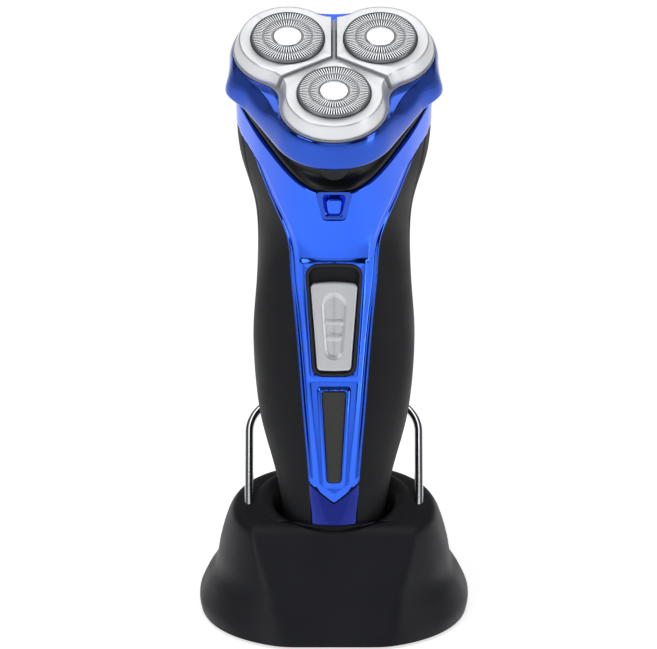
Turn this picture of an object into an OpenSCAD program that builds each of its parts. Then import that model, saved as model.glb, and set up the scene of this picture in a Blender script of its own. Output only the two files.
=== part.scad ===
// Rotary electric shaver with three floating cutters, standing in its charging stand.
// +Z is up and +X is to the right. The origin is on the table, under the middle of the stand.
// The shaver leans back in the stand, and its head is tilted forward on the handle.

/* [Stand] */
// Width of the stand at the table
stand_w = 81; // [78:1:86]
// Height of the stand at the back of its collar
stand_h = 36; // [35:0.5:38]
// Angle that the shaver leans back from upright, in degrees
lean = 18; // [16:1:19]
// Diameter of the wire that the shaver leans on
wire_d = 2.6; // [2:0.1:3]
// Distance between the middles of the wire's two legs
wire_span = 51; // [50:0.5:52]

/* [Handle] */
// Width of the handle at its lower end
foot_w = 25; // [24:0.5:26]
// Width of the handle where the hand holds it
grip_w = 48.4; // [47:0.2:50]
// Width of the handle at its waist, under the head
waist_w = 45; // [44:0.5:46]
// Thickness of the moulded shells
wall = 1.6; // [1.4:0.1:2]
// How far the front panel stands off the shell
panel_proud = 0.9; // [0.6:0.1:1.1]
// Travel of the sliding switch
switch_travel = 4; // [3:0.5:4]

/* [Head] */
// Angle between the handle and the face of the head, in degrees
head_tilt = 42; // [41:0.5:43]
// Distance of each cutter from the middle of the head
cutter_pcr = 16; // [16:1:16]
// Outer diameter of a cutter guard
guard_d = 22; // [21.6:0.1:22.2]
// Slots in the outer track of each guard
outer_slots = 24; // [12:1:30]
// Slots in the inner track of each guard
inner_slots = 15; // [10:1:18]
// Width of one guard slot
slot_w = 0.5; // [0.3:0.05:0.6]
// How far a cutter can be pressed into the head
float_travel = 1.2; // [0.8:0.1:1.2]

/* [Gears] */
// Gear module
gear_m = 0.5; // [0.5:0.1:0.5]
// Teeth on the motor pinion
pinion_teeth = 16; // [16:1:16]
// Teeth on each drive gear
gear_teeth = 48; // [48:1:48]

/* [Hidden] */
$fn = 48;
eps = 0.01;
big = 400;

// Middle of the handle's lower end, seated in the stand
seat_y = -8;
seat_z = 17.7;
// Middle of the head's face, from the handle's lower end
face_y = -16;
face_z = 149.9;
// Directions of the three cutters from the middle of the head
cutter_angles = [30, 150, 270];

// Sections of the handle from its foot to its neck. Each is a closed curve in a plane that
// runs from a front point to a rear point: [front y, front z, rear y, rear z, half width,
// egg factor, second egg factor, squareness].
HANDLE = [
    [-9.6, 0, 9.6, 0, foot_w / 2 - 2, 0, 0, 2.2],
    [-11.6, 2, 11.8, 2, foot_w / 2 + 0.3, 0, 0, 2.2],
    [-14.6, 24, 15, 24, 17.1, 0, 0, 2.3],
    [-16.6, 44, 18.2, 44, 22.3, 0, 0, 2.4],
    [-17.8, 65, 20, 66, grip_w / 2, 0, 0, 2.4],
    [-18.8, 82, 22.4, 88, waist_w / 2 + 0.6, 0, 0, 2.4],
    [-21.6, 95, 24.6, 110, waist_w / 2 + 0.1, 0.2, 0.05, 2.3],
    [-25.6, 103.6, 24.6, 130, 25, 0.45, 0.2, 2.15],
    [-28.3, 109.2, 17.3, 150.3, 24.6, 0.595, 0.333, 2]
];
TOP = len(HANDLE) - 1;
// Half width of the front panel at each handle section
PANEL = [6.4, 6.4, 7.6, 9.3, 11, 12.7, 14.2, 20.4, 28.6];

// Heights along the head's axis, from the face of the head down
ring_low = -13;
ring_top = -4;
frame_low = -6;
plate_low = -7.6;
floor_top = -14;
floor_low = -15.5;
gear_top = -18;
gear_low = -21;
deck_top = -20;
deck_low = -22;
gear_plate_top = -23;
gear_plate_low = -25;
motor_low = -45;
tongue_tip = -6.4;
shaft_round_top = -9;
shaft_r = 1.5;
run_gap = 0.05;
// Hinge of the head, behind the neck
hinge_v = 28.6;
hinge_w = -14;
pin_r = 1;

// Middle and slope of the flats that the switch, the window and the button sit on
switch_y = -18.1;
switch_z = 70;
switch_slope = 3.4;
window_y = -15.9;
window_z = 36.4;
window_slope = 5.6;
button_y = -26.6;
button_z = 105.6;
button_slope = 26;

function spow(x, p) = sign(x) * pow(abs(x), p);
function mix3(p0, p1, p2, p3, t) =
    0.5 * (2 * p1 + (p2 - p0) * t + (2 * p0 - 5 * p1 + 4 * p2 - p3) * t * t
    + (3 * p1 - p0 - 3 * p2 + p3) * t * t * t);
// Smooth value of a list of stations at position t
function along(list, t) =
    let (n = len(list) - 1, i = min(floor(t), n - 1))
    mix3(list[max(i - 1, 0)], list[i], list[i + 1], list[min(i + 2, n)], t - i);
// Point of a section at angle a from the front, grown outwards by off
function sec_point(r, a, off) =
    let (q = 2 / r[7], s = -spow(cos(a), q), c = spow(sin(a), q),
         run = [r[2] - r[0], r[3] - r[1]], half = norm(run) / 2, dir = run / norm(run),
         mid = [r[0] + r[2], r[1] + r[3]] / 2,
         x = (r[4] + off) * c * (1 + r[5] * s + r[6] * s * s),
         p = mid + dir * s * (half + off))
    [x, p[0], p[1]];
function section(t, off, n) =
    let (r = along(HANDLE, t)) [for (i = [0:n - 1]) sec_point(r, 360 * i / n, off)];
// Position along the handle where the front is at height z
function t_at(z, lo = 0, hi = 8, k = 18) =
    k == 0 ? (lo + hi) / 2 :
    along(HANDLE, (lo + hi) / 2)[1] < z ? t_at(z, (lo + hi) / 2, hi, k - 1)
    : t_at(z, lo, (lo + hi) / 2, k - 1);
// Angle from the front where a section is x wide
function a_at(r, x, lo = 0, hi = 100, k = 14) =
    k == 0 ? (lo + hi) / 2 :
    sec_point(r, (lo + hi) / 2, 0)[0] < x ? a_at(r, x, (lo + hi) / 2, hi, k - 1)
    : a_at(r, x, lo, (lo + hi) / 2, k - 1);

// Solid through a list of rings that have the same number of points
module loft(rings) {
    n = len(rings[0]);
    m = len(rings);
    polyhedron(
        points = [for (r = rings) for (p = r) p],
        faces = concat(
            [[for (i = [0:n - 1]) i]],
            [for (j = [0:m - 2]) for (i = [0:n - 1]) let (k = (i + 1) % n)
                [j * n + i, (j + 1) * n + i, (j + 1) * n + k]],
            [for (j = [0:m - 2]) for (i = [0:n - 1]) let (k = (i + 1) % n)
                [j * n + i, (j + 1) * n + k, j * n + k]],
            [[for (i = [n - 1:-1:0]) (m - 1) * n + i]]));
}

// Evaluated as one mesh, for shells that are cut from lofts
module as_mesh() { resize([0, 0, 0]) children(); }

module in_handle() { translate([0, seat_y, seat_z]) rotate([-lean, 0, 0]) children(); }
module in_head() {
    in_handle() translate([0, face_y, face_z]) rotate([head_tilt, 0, 0]) children();
}
module at_cutter(i) { rotate(cutter_angles[i]) translate([cutter_pcr, 0, 0])
    rotate(-cutter_angles[i]) children(); }
module tube(r_out, r_in, z0, z1) {
    translate([0, 0, z0]) difference() {
        cylinder(r = r_out, h = z1 - z0);
        translate([0, 0, -1]) cylinder(r = r_in, h = z1 - z0 + 2);
    }
}
module rod(r, z0, z1, n = 48) { translate([0, 0, z0]) cylinder(r = r, h = z1 - z0, $fn = n); }

// Rounded triangle around the three cutters, from z0 up to z1
module tri(r0, r1, z0, z1) {
    hull() for (i = [0:2]) at_cutter(i)
        translate([0, 0, z0]) cylinder(r1 = r0, r2 = r1, h = z1 - z0, $fn = 48);
}

// Outline of three joined discs of radius r, their waists filled with arcs of radius f
function trefoil(r, f) =
    let (half = cutter_pcr * sin(60), mid = cutter_pcr * cos(60),
         q = sqrt(pow(r + f, 2) - half * half), b = atan2(half, q))
    [for (i = [0:2]) let (a = cutter_angles[i], m = a + 60,
         c = cutter_pcr * [cos(a), sin(a)], fc = (mid + q) * [cos(m), sin(m)])
        each concat(
            [for (k = [-10:10]) let (e = a + k / 10 * (60 + b)) c + r * [cos(e), sin(e)]],
            [for (k = [1:4]) let (e = m + 180 + b - 2 * b * k / 5)
                fc + f * [cos(e), sin(e)]])];
function lift(pts, w) = [for (p = pts) [p[0], p[1], w]];
function shift(pts, v) = [for (p = pts) p + v];

// Convex outline with its corners rounded to radius r
function rounded(pts, r, n = 4) =
    let (m = len(pts))
    [for (i = [0:m - 1])
        let (p = pts[i], a = pts[(i + m - 1) % m] - p, b = pts[(i + 1) % m] - p,
             ua = a / norm(a), ub = b / norm(b), mid = ua + ub, um = mid / norm(mid),
             half = acos(ua * ub) / 2, c = p + um * r / sin(half),
             start = atan2(-um[1], -um[0]), sweep = 90 - half)
        for (k = [-n:n]) let (e = start + k / n * sweep) c + r * [cos(e), sin(e)]];
// Rounded trapezoid, w0 wide at y0 and w1 wide at y1
function wedge(w0, w1, y0, y1, r) =
    rounded([[w0 / 2, y0], [w1 / 2, y1], [-w1 / 2, y1], [-w0 / 2, y0]], r);

// ---- Stand ----

// Sections of the stand: [height, half width, front y, rear y, squareness]
STAND = [
    [0.8, stand_w / 2 - 0.6, -42, 40, 2.3],
    [4, stand_w / 2 - 0.2, -40, 39.6, 2.3],
    [9, stand_w / 2 - 2.4, -37.4, 37.6, 2.3],
    [14, stand_w / 2 - 5.2, -34.8, 34.8, 2.3],
    [20, stand_w / 2 - 6.4, -31.8, 32.6, 2.3],
    [26, stand_w / 2 - 8, -29.4, 30.6, 2.3],
    [31, stand_w / 2 - 10, -28, 28.4, 2.2],
    [34.4, stand_w / 2 - 13.4, -25, 25.6, 2.2],
    [stand_h, stand_w / 2 - 19, -19, 21, 2.1]
];
stand_wall = 2.4;
foot_x = 24;
feet_y = [-20, 22];
inlet_z = 11;
bail_base = [0, -9, 26];
bail_rise = 39.5;
bail_len = 46;
bail_bend = 12;

function stand_ring(t, off, n) =
    let (r = along(STAND, t), s = [r[2], r[0], r[3], r[0], r[1], 0, 0, r[4]])
    [for (i = [0:n - 1]) sec_point(s, 360 * i / n, off)];
// Outer form of the stand, moved inwards by inset
module stand_form(inset) {
    m = len(STAND) - 1;
    intersection() {
        translate([0, 0, -inset]) loft([for (j = [0:10]) stand_ring(m * j / 10, -inset, 44)]);
        // Flat sloping front
        translate([0, inset - 40.6, 0]) rotate([-36, 0, 0])
            translate([-big / 2, 0, -big / 2]) cube(big);
        // Gently sloping top
        translate([0, 0, 33.4 - inset]) rotate([7, 0, 0])
            translate([-big / 2, -big / 2, -big]) cube(big);
    }
}
// Room that the handle takes in the stand, widening to a dished collar
module cradle_room() {
    in_handle() loft(concat([shift(section(0, 0.9, 40), [0, 0, -0.4])],
        [for (t = [0.25, 0.5, 0.75, 1, 1.15, 1.35, 1.6, 1.9, 2.2, 2.6, 3, 3.4])
            let (z = along(HANDLE, t)[1]) section(t, 0.9 + max(0, (z - 9) * 0.24), 40)]));
}
// Cup around that room
module cradle_cup() {
    low = section(0, 2.6, 40);
    in_handle() loft(concat([shift(low, [0, 0, -2])],
        [for (j = [0:9]) section(3.4 * j / 9, 2.6, 40)]));
}
// Frame at the lower end of a bail leg, +Z up along the leg
module at_bail() { translate(bail_base) rotate([bail_rise, 0, 0]) children(); }
module at_bail_leg(s) {
    at_bail() translate([s * wire_span / 2, 0, 0]) rotate([-90, 0, 0]) children();
}

module stand_shell() {
    color("#202126") difference() {
        as_mesh() difference() {
            union() {
                difference() {
                    stand_form(0);
                    stand_form(stand_wall);
                    translate([-big / 2, -big / 2, -big + 1.6]) cube(big);
                }
                intersection() {
                    stand_form(0.4);
                    union() {
                        cradle_cup();
                        for (s = [-1, 1]) at_bail_leg(s) cylinder(r = 3.4, h = 20, center = true);
                    }
                }
            }
            cradle_room();
            in_handle() translate([-6.2, -3.7, -9]) cube([12.4, 7.4, 12]);
        }
        for (s = [-1, 1]) at_bail_leg(s)
            translate([0, 0, -8.2]) cylinder(d = wire_d + 0.04, h = 28);
        translate([0, 30, inlet_z]) rotate([-90, 0, 0]) cylinder(r = 4.05, h = 20);
    }
}
module stand_base_plate() {
    plate = [for (p = stand_ring(0.6, -3.6, 48)) [p[0], max(p[1], -33)]];
    color("#1b1c20") difference() {
        union() {
            translate([0, 0, 1.6]) linear_extrude(2) polygon(plate);
            for (x = [-11, 11], y = [0, 18]) translate([x, y, 0]) rod(2, 3.5, 6);
        }
        for (x = [-foot_x, foot_x], y = feet_y) translate([x, y, 0]) rod(1.3, 0, 9);
    }
}
module stand_feet() {
    color("#141416") {
        for (x = [-foot_x, foot_x], y = feet_y) translate([x, y, 0]) tube(5, 2.6, 0, 1.6);
        rod(5, 0, 1.6);
    }
}
module stand_screws() {
    color("#9a9ca0") for (x = [-foot_x, foot_x], y = feet_y) translate([x, y, 0]) {
        rod(2.4, 0.5, 1.6);
        rod(1.2, 1.6, 9);
    }
}
module support_bail() {
    side = wire_span / 2;
    color("#c9ccd1") at_bail() {
        for (s = [-1, 1]) {
            translate([s * side, -8, 0]) rotate([-90, 0, 0])
                cylinder(d = wire_d, h = bail_len - bail_bend + 8);
            translate([s * (side - bail_bend), bail_len - bail_bend, 0])
                rotate([0, 0, s > 0 ? 0 : 90]) rotate_extrude(angle = 90)
                translate([bail_bend, 0]) circle(d = wire_d, $fn = 24);
        }
        translate([bail_bend - side, bail_len, 0]) rotate([0, 90, 0])
            cylinder(d = wire_d, h = 2 * (side - bail_bend));
    }
}
module stand_contact_block() {
    color("#2b2c30") in_handle() difference() {
        translate([-6, -3.5, -6]) cube([12, 7, 8.4]);
        for (x = [-3, 3]) translate([x, 0, 0]) rod(0.9, -7, 4);
    }
}
module stand_contact_pins() {
    color("#d2b565") in_handle() for (x = [-3, 3]) translate([x, 0, 0]) rod(0.9, -7.5, 7);
}
module stand_inlet() {
    color("#2b2c30") translate([0, 0, inlet_z]) rotate([-90, 0, 0]) difference() {
        rod(4, 25, 37);
        rod(2.8, 26.5, 38);
        rod(0.8, 24, 27);
    }
}
module stand_inlet_pin() {
    color("#c9ccd1") translate([0, 0, inlet_z]) rotate([-90, 0, 0]) rod(0.8, 24, 35);
}
module stand_circuit_board() {
    color("#2f6b3f") translate([-14, -4, 6]) cube([28, 26, 1.2]);
}

// ---- Handle ----

// Place of the plane where the two shells meet
part_y = 2.37;
deck_normal = [0, -sin(head_tilt), cos(head_tilt)];
// Whole form of the handle from position t0 up, grown by off
module handle_form(t0, off, over = 0) {
    last = section(TOP, off, 44);
    in_handle() loft(concat([for (j = [0:19]) section(t0 + (TOP - t0) * j / 20, off, 44)],
        [shift(last, deck_normal * over)]));
}
module handle_shell() {
    difference() {
        handle_form(1, 0);
        handle_form(0.6, -wall, 1);
    }
}
// The half of space in front of the parting plane of the two shells
module front_half() {
    in_handle() translate([-big / 2, part_y - big, -big / 2]) cube(big);
}
// Frames on the front: +Z outwards and +Y up the handle
module at_switch() {
    in_handle() translate([0, switch_y, switch_z]) rotate([90 + switch_slope, 0, 0]) children();
}
module at_window() {
    in_handle() translate([0, window_y, window_z]) rotate([90 + window_slope, 0, 0]) children();
}
module at_button() {
    in_handle() translate([0, button_y, button_z]) rotate([90 + button_slope, 0, 0]) children();
}
module slab(pts, z0, z1) { translate([0, 0, z0]) linear_extrude(z1 - z0) polygon(pts); }

bezel_shape = wedge(13, 17.5, -15.5, 18.6, 3.4);
window_shape = wedge(4.2, 7.6, -13.8, 14, 1);
button_shape = wedge(3.6, 4.8, -2.4, 2.6, 1);
function grown(pts, k) = [for (p = pts) p * k];

module front_openings() {
    at_switch() slab(grown(bezel_shape, 1.01), -9, 9);
    at_window() slab(grown(window_shape, 1.015), -9, 9);
    at_button() slab(grown(button_shape, 1.08), -9, 9);
}
module front_shell() {
    color("#26272b") as_mesh() difference() {
        intersection() { handle_shell(); front_half(); }
        front_openings();
    }
}
screw_z = [22, 84];
function back_y(z) = let (t = t_at(z)) along(HANDLE, t)[2];
module back_shell() {
    color("#26272b") as_mesh() difference() {
        handle_shell();
        front_half();
        for (z = screw_z) in_handle() translate([0, back_y(z), z]) rotate([90, 0, 0]) {
            rod(2.5, -5, 1, 20);
            rod(1.2, -4, 6, 20);
        }
    }
}
// Thin skin on the front of the handle between two heights, given at q = -1..1 across it
module skin(q_low, q_high, widths, lo, hi, k, m) {
    pt = function (j, i, off)
        let (q = 2 * i / k - 1, t = q_low(q) + (q_high(q) - q_low(q)) * j / m,
             r = along(HANDLE, t), a = a_at(r, along(widths, t)))
        sec_point(r, q * a, off);
    n = (k + 1) * (m + 1);
    at = function (j, i) j * (k + 1) + i;
    // Two triangles of a quad whose corners are given in turn
    quad = function (a, b, c, d) [[a, b, c], [a, c, d]];
    in_handle() polyhedron(
        points = concat(
            [for (j = [0:m]) for (i = [0:k]) pt(j, i, hi)],
            [for (j = [0:m]) for (i = [0:k]) pt(j, i, lo)]),
        faces = concat(
            [for (j = [0:m - 1]) for (i = [0:k - 1])
                each quad(at(j, i), at(j + 1, i), at(j + 1, i + 1), at(j, i + 1))],
            [for (j = [0:m - 1]) for (i = [0:k - 1])
                each quad(n + at(j, i), n + at(j, i + 1), n + at(j + 1, i + 1), n + at(j + 1, i))],
            [for (i = [0:k - 1]) each quad(at(0, i), at(0, i + 1), n + at(0, i + 1), n + at(0, i))],
            [for (i = [0:k - 1]) each quad(at(m, i), n + at(m, i), n + at(m, i + 1), at(m, i + 1))],
            [for (j = [0:m - 1]) each quad(at(j, 0), n + at(j, 0), n + at(j + 1, 0), at(j + 1, 0))],
            [for (j = [0:m - 1])
                each quad(at(j, k), at(j + 1, k), n + at(j + 1, k), n + at(j, k))]));
}
chevron = function (q) t_at(16.8 + 6.2 * abs(q));
module front_panel() {
    color("#2a62f0") as_mesh() difference() {
        skin(chevron, function (q) TOP, PANEL, 0.1, panel_proud, 20, 20);
        front_openings();
        // Notch that the release button stands in
        at_button() slab(wedge(7, 13.6, -4.4, 8, 1.4), -5, 9);
    }
}
module lower_trim() {
    color("#0c2a9a") skin(function (q) t_at(2.4), function (q) chevron(q) - 0.03,
        PANEL, 0.1, panel_proud - 0.3, 12, 4);
}
module bottom_cap() {
    color("#1d1e22") difference() {
        as_mesh() in_handle() loft([for (t = [0, 0.5, 0.98]) section(t, 0, 44)]);
        in_handle() translate([-6.4, -3.9, -1]) cube([12.8, 7.8, 9]);
    }
}
module switch_bezel() {
    color("#2b2c2f") at_switch() difference() {
        slab(bezel_shape, -2.2, 1.2);
        slab(wedge(11, 15, -14.4, 17.6, 2.6), -0.4, 3);
        translate([-2, -5, -3]) cube([4, 4.6 + switch_travel, 4]);
    }
}
module switch_slider() {
    color("#cfd1d5") at_switch() difference() {
        union() {
            slab(wedge(10.1, 14.1, -13.8, 13, 2.4), -0.3, 2.2);
            translate([-1.6, -4.6, -4.4]) cube([3.2, 3.6, 4.2]);
        }
        slab(wedge(7, 8.7, -11, 10.4, 3.4), 1.6, 3);
    }
}
module indicator_window() {
    color("#23231f") at_window() slab(window_shape, -1.4, 1.1);
}
module indicator_leds() {
    color("#dff0c8") in_handle() for (z = [27:5:47]) translate([0, -10, z])
        rotate([90, 0, 0]) rod(1, 0, 2);
}
module release_button() {
    color("#2f55d8") at_button() slab(button_shape, -2.4, 1);
}
module button_spring() {
    color("#b8bbc0") at_button() tube(1.6, 1.1, -6.4, -3.5);
}
module neck_collar() {
    base = section(TOP, -0.4, 44);
    rim = section(TOP, -1.2, 44);
    color("#1b1c20") as_mesh() difference() {
        union() {
            difference() {
                union() {
                    in_handle() loft([base, shift(rim, deck_normal * (deck_top - deck_low))]);
                    in_head() tri(15, 15, deck_low + 0.5, -11.6);
                    in_head() for (s = [-1, 1]) translate([s * 8 - 2.2, 21, hinge_w - 2.2])
                        cube([4.4, hinge_v - 21, 2.6]);
                }
                in_head() tri(13.4, 13.4, deck_low - 1, 0);
            }
            in_head() for (s = [-1, 1]) translate([s * 8 - 2.2, hinge_v, hinge_w])
                rotate([0, 90, 0]) cylinder(r = 2.2, h = 4.4);
        }
        in_head() translate([-12, hinge_v, hinge_w]) rotate([0, 90, 0])
            cylinder(r = pin_r + 0.02, h = 24);
    }
}
module head_hinge_pin() {
    color("#b8bbc0") in_head() translate([-10.6, hinge_v, hinge_w]) rotate([0, 90, 0])
        cylinder(r = pin_r, h = 21.2);
}
module chamber_floor() {
    color("#33353b") in_head() difference() {
        tri(13.3, 13.3, floor_low, floor_top);
        for (i = [0:2]) at_cutter(i) rod(3, -17, -12);
    }
}
module shaft_seals() {
    color("#111214") in_head() for (i = [0:2]) at_cutter(i)
        tube(3, shaft_r + run_gap, floor_low, floor_top + 0.4);
}
module gear_plate() {
    color("#d8d8d2") in_head() difference() {
        tri(11.6, 11.6, gear_plate_low, gear_plate_top);
        for (i = [0:2]) at_cutter(i) rod(shaft_r + run_gap, -30, -20);
        rod(3, -30, -20);
    }
}
battery_y = 1.5;
battery_r = 7.1;
module chassis() {
    color("#c9c9c2") in_handle() {
        difference() {
            union() {
                translate([0, battery_y, 12]) difference() {
                    rod(9, 0, 58);
                    translate([-10, -12, -1]) cube([20, 12, 60]);
                    rod(battery_r + 0.15, 2, 56);
                }
                translate([-8, battery_y - 9.2, 70]) cube([16, 18.2, 2]);
                translate([-5, 8, 72]) cube([10, 2.6, 16]);
                for (z = screw_z) translate([0, 9, z]) rotate([-90, 0, 0])
                    rod(2.8, 0, back_y(z) - wall - 10.6);
            }
            for (z = screw_z) translate([0, 9.6, z]) rotate([-90, 0, 0]) rod(1.05, 0, 20);
        }
    }
}
module body_screws() {
    color("#9a9ca0") in_handle() for (z = screw_z) translate([0, 0, z]) rotate([-90, 0, 0]) {
        rod(1.05, 10, back_y(z) - 1 + eps);
        rod(2.2, back_y(z) - 1, back_y(z) - 0.3);
    }
}
module motor_form(r, w0, w1) {
    intersection() {
        rod(r, w0, w1);
        translate([-20, -7.7, w0]) cube([40, 15.4, w1 - w0]);
    }
}
module motor_can() {
    color("#b6b9bd") in_head() difference() {
        union() {
            motor_form(10.2, motor_low, gear_plate_low);
            rod(2.9, gear_plate_low - 1, gear_plate_top - 0.4);
        }
        rod(1 + run_gap, motor_low - 1, 0);
    }
}
module motor_end_cap() {
    color("#e4e2d8") in_head() difference() {
        motor_form(9.6, motor_low - 1.8, motor_low);
        rod(1 + run_gap, motor_low - 3, motor_low + 1);
    }
}
module motor_shaft() { color("#c9ccd1") in_head() rod(1, motor_low - 1.2, gear_top + 0.4); }
module battery() {
    color("#3f7f52") in_handle() translate([0, battery_y, 0]) {
        rod(battery_r, 15, 65);
        rod(2.6, 65, 66);
    }
}
module battery_tabs() {
    color("#c9ccd1") in_handle() for (z = [14.2, 66]) translate([-2.5, -6, z])
        cube([5, 9, 0.8]);
}
module circuit_board() {
    color("#2f6b3f") in_handle() translate([-8, -10, 24]) cube([16, 1.2, 66]);
}
module slide_switch() {
    color("#3a3b40") in_handle() translate([-4.5, -13.2, 62]) cube([9, 3.2, 14]);
}
module charging_inlet() {
    color("#2b2c30") in_handle() difference() {
        translate([-6.2, -3.7, 2.8]) cube([12.4, 7.4, 8]);
        for (x = [-3, 3]) translate([x, 0, 0]) rod(1.3, 2, 8);
    }
}
module inlet_contacts() {
    color("#d2b565") in_handle() for (x = [-3, 3]) translate([x, 0, 0]) tube(1.25, 0.95, 4, 7.8);
}

// ---- Head ----

module knuckle_room(s) {
    translate([s * 8 - 2.6, hinge_v, hinge_w]) rotate([0, 90, 0]) cylinder(r = 2.6, h = 5.2);
}
module head_ring() {
    color("#1f4fd6") in_head() difference() {
        union() {
            as_mesh() difference() {
                union() {
                    tri(19.6, 18.4, ring_low, -7);
                    tri(18.4, 17.2, -7 - eps, ring_top);
                    translate([-5, 26, hinge_w + 0.4]) cube([10, 2.8, 5]);
                }
                tri(17.8, 17.4, ring_low - 1, frame_low);
                translate([0, 0, -20]) linear_extrude(30) polygon(trefoil(16.7, 7.1));
            }
            translate([-5, hinge_v, hinge_w]) rotate([0, 90, 0]) cylinder(r = 2.2, h = 10);
        }
        translate([-12, hinge_v, hinge_w]) rotate([0, 90, 0])
            cylinder(r = pin_r + run_gap, h = 24);
        for (s = [-1, 1]) knuckle_room(s);
    }
}
module head_frame() {
    color("#8b8e94") in_head() difference() {
        union() {
            translate([0, 0, frame_low + 0.1]) linear_extrude(-4.7 - frame_low)
                polygon(trefoil(16.5, 7.3));
            for (i = [0:2]) rotate(cutter_angles[i] + 60) translate([0, -0.4, -5])
                cube([17.4, 0.8, 4.2]);
        }
        for (i = [0:2]) at_cutter(i) rod(12.4, -9, -4.5);
    }
}
module lobe_plates() {
    color("#e6e7ea") in_head() difference() {
        as_mesh() difference() {
            loft([lift(trefoil(16.4, 7.4), -4.5), lift(trefoil(16, 7.8), -3.4),
                lift(trefoil(15, 8.8), -0.6), lift(trefoil(14.4, 9.4), 0)]);
            for (i = [0:2]) rotate(cutter_angles[i] + 60) translate([-0.5, -0.9, -9])
                cube([40, 1.8, 18]);
        }
        for (i = [0:2]) at_cutter(i) {
            rod(guard_d / 2 + 0.25, -9, 9);
            rod(12.3, -9, -2.7);
        }
    }
}
module latch_tongue() {
    color("#141519") in_head() difference() {
        intersection() {
            at_cutter(2) rod(17.66, -19, -12);
            translate([-4, -36, -19]) cube([8, 6, 7]);
            translate([0, 0, -15]) rotate([90, 0, 0]) rod(4, 30, 36);
        }
        at_cutter(2) rod(16.1, -20, -11);
    }
}
module retaining_plate() {
    color("#7c7f85") in_head() {
        difference() {
            union() {
                for (i = [0:2]) at_cutter(i) {
                    rod(12.2, plate_low, -6.2);
                    rod(10, -6.3, -3.6 - float_travel);
                }
                rod(6, plate_low, -6.2);
            }
            for (i = [0:2]) at_cutter(i) rod(8.6, -9, 0);
        }
        rod(1.5, -11, plate_low + eps);
    }
}
module lock_knob() {
    color("#3a3c42") in_head() difference() {
        union() {
            rod(4.2, -10.6, -7.8);
            translate([-6.4, -1.3, -10.6]) cube([12.8, 2.6, 2.8]);
        }
        rod(1.5 + run_gap, -12, -7);
    }
}
// Ring of radial slots, n of them from radius r0 to r1
module slots(n, r0, r1) {
    for (k = [0:n - 1]) rotate(360 * k / n)
        translate([r0, -slot_w / 2, -1]) cube([r1 - r0, slot_w, 3]);
}
module guard(i) {
    color("#b9bcc1") in_head() at_cutter(i) difference() {
        union() {
            rod(guard_d / 2, -3.5, 1);
            rod(12, -3.5, -2.9);
        }
        rod(guard_d / 2 - 0.6, -4, 0.5);
        rod(3.6, 0, 2);
        slots(outer_slots, 7.8, 10.2);
        slots(inner_slots, 4.95, 7);
    }
}
module guard_cap(i) {
    color("#eeeef0") in_head() at_cutter(i) {
        rod(4.5, 1, 1.3);
        rod(3.6, 0.5, 1);
    }
}
module cutter(i) {
    color("#a4a7ac") in_head() at_cutter(i) difference() {
        union() {
            rod(3.4, -7.4, -1.2);
            rod(9.8, -3, -2.4);
            tube(10, 7.9, -2.5, -1.6);
            tube(6.9, 5, -2.5, -1.6);
            for (k = [0:8]) rotate(40 * k) {
                translate([8, -0.5, -1.7]) cube([2, 1, 2.12]);
                translate([5.1, -0.5, -1.7]) cube([1.8, 1, 2.12]);
            }
        }
        translate([-1.1, -2, -9]) cube([2.2, 4, 4.1]);
    }
}
module drive_shaft(i) {
    color("#e4e2d8") in_head() at_cutter(i) {
        rod(shaft_r, gear_plate_low + 0.2, shaft_round_top);
        intersection() {
            rod(shaft_r, shaft_round_top - eps, tongue_tip);
            translate([-0.6, -2, -20]) cube([1.2, 4, 20]);
        }
    }
}

// ---- Gears ----

function involute(rb, r) = let (a = acos(rb / r)) tan(a) * 180 / PI - a;
// Outline of a gear with z teeth, one of them centred on +X
function gear_outline(z) =
    let (rp = gear_m * z / 2, rb = rp * cos(20), tip = rp + 0.9 * gear_m,
         root = rp - 1.2 * gear_m, low = max(root, rb + 0.01), play = 0.04 / rp * 180 / PI,
         half = function (r) 90 / z - play + involute(rb, rp) - involute(rb, r),
         radii = [low, (low + rp) / 2, rp, tip])
    [for (k = [0:z - 1]) let (a = 360 * k / z) each concat(
        [root * [cos(a - half(low)), sin(a - half(low))]],
        [for (r = radii) r * [cos(a - half(r)), sin(a - half(r))]],
        [for (i = [3:-1:0]) let (r = radii[i]) r * [cos(a + half(r)), sin(a + half(r))]],
        [root * [cos(a + half(low)), sin(a + half(low))]])];
module pinion() {
    color("#d8b25a") in_head() difference() {
        slab(gear_outline(pinion_teeth), gear_low, gear_top);
        rod(1, -30, 0);
    }
}
module drive_gear(i) {
    mesh = cutter_angles[i] + 180 + 180 / gear_teeth
        + cutter_angles[i] * pinion_teeth / gear_teeth;
    color("#efeee8") in_head() at_cutter(i) difference() {
        union() {
            rotate(mesh) slab(gear_outline(gear_teeth), gear_low, gear_top);
            rod(3, gear_plate_top + 0.3, gear_low + eps);
        }
        rod(shaft_r, -30, 0);
    }
}

stand_shell();
stand_base_plate();
stand_feet();
stand_screws();
support_bail();
stand_contact_block();
stand_contact_pins();
stand_inlet();
stand_inlet_pin();
stand_circuit_board();
back_shell();
front_shell();
front_panel();
lower_trim();
bottom_cap();
switch_bezel();
indicator_window();
indicator_leds();
neck_collar();
chamber_floor();
shaft_seals();
gear_plate();
chassis();
motor_can();
motor_end_cap();
battery();
battery_tabs();
circuit_board();
slide_switch();
charging_inlet();
inlet_contacts();
body_screws();
head_hinge_pin();
button_spring();
switch_slider();
release_button();
head_ring();
head_frame();
lobe_plates();
latch_tongue();
retaining_plate();
lock_knob();
for (i = [0:2]) {
    guard(i);
    guard_cap(i);
    cutter(i);
    drive_gear(i);
    drive_shaft(i);
}
motor_shaft();
pinion();
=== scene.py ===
"""Rotary electric shaver leaning in its charging stand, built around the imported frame."""
import math

import bmesh
import bpy
from mathutils import Matrix, Vector


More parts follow.
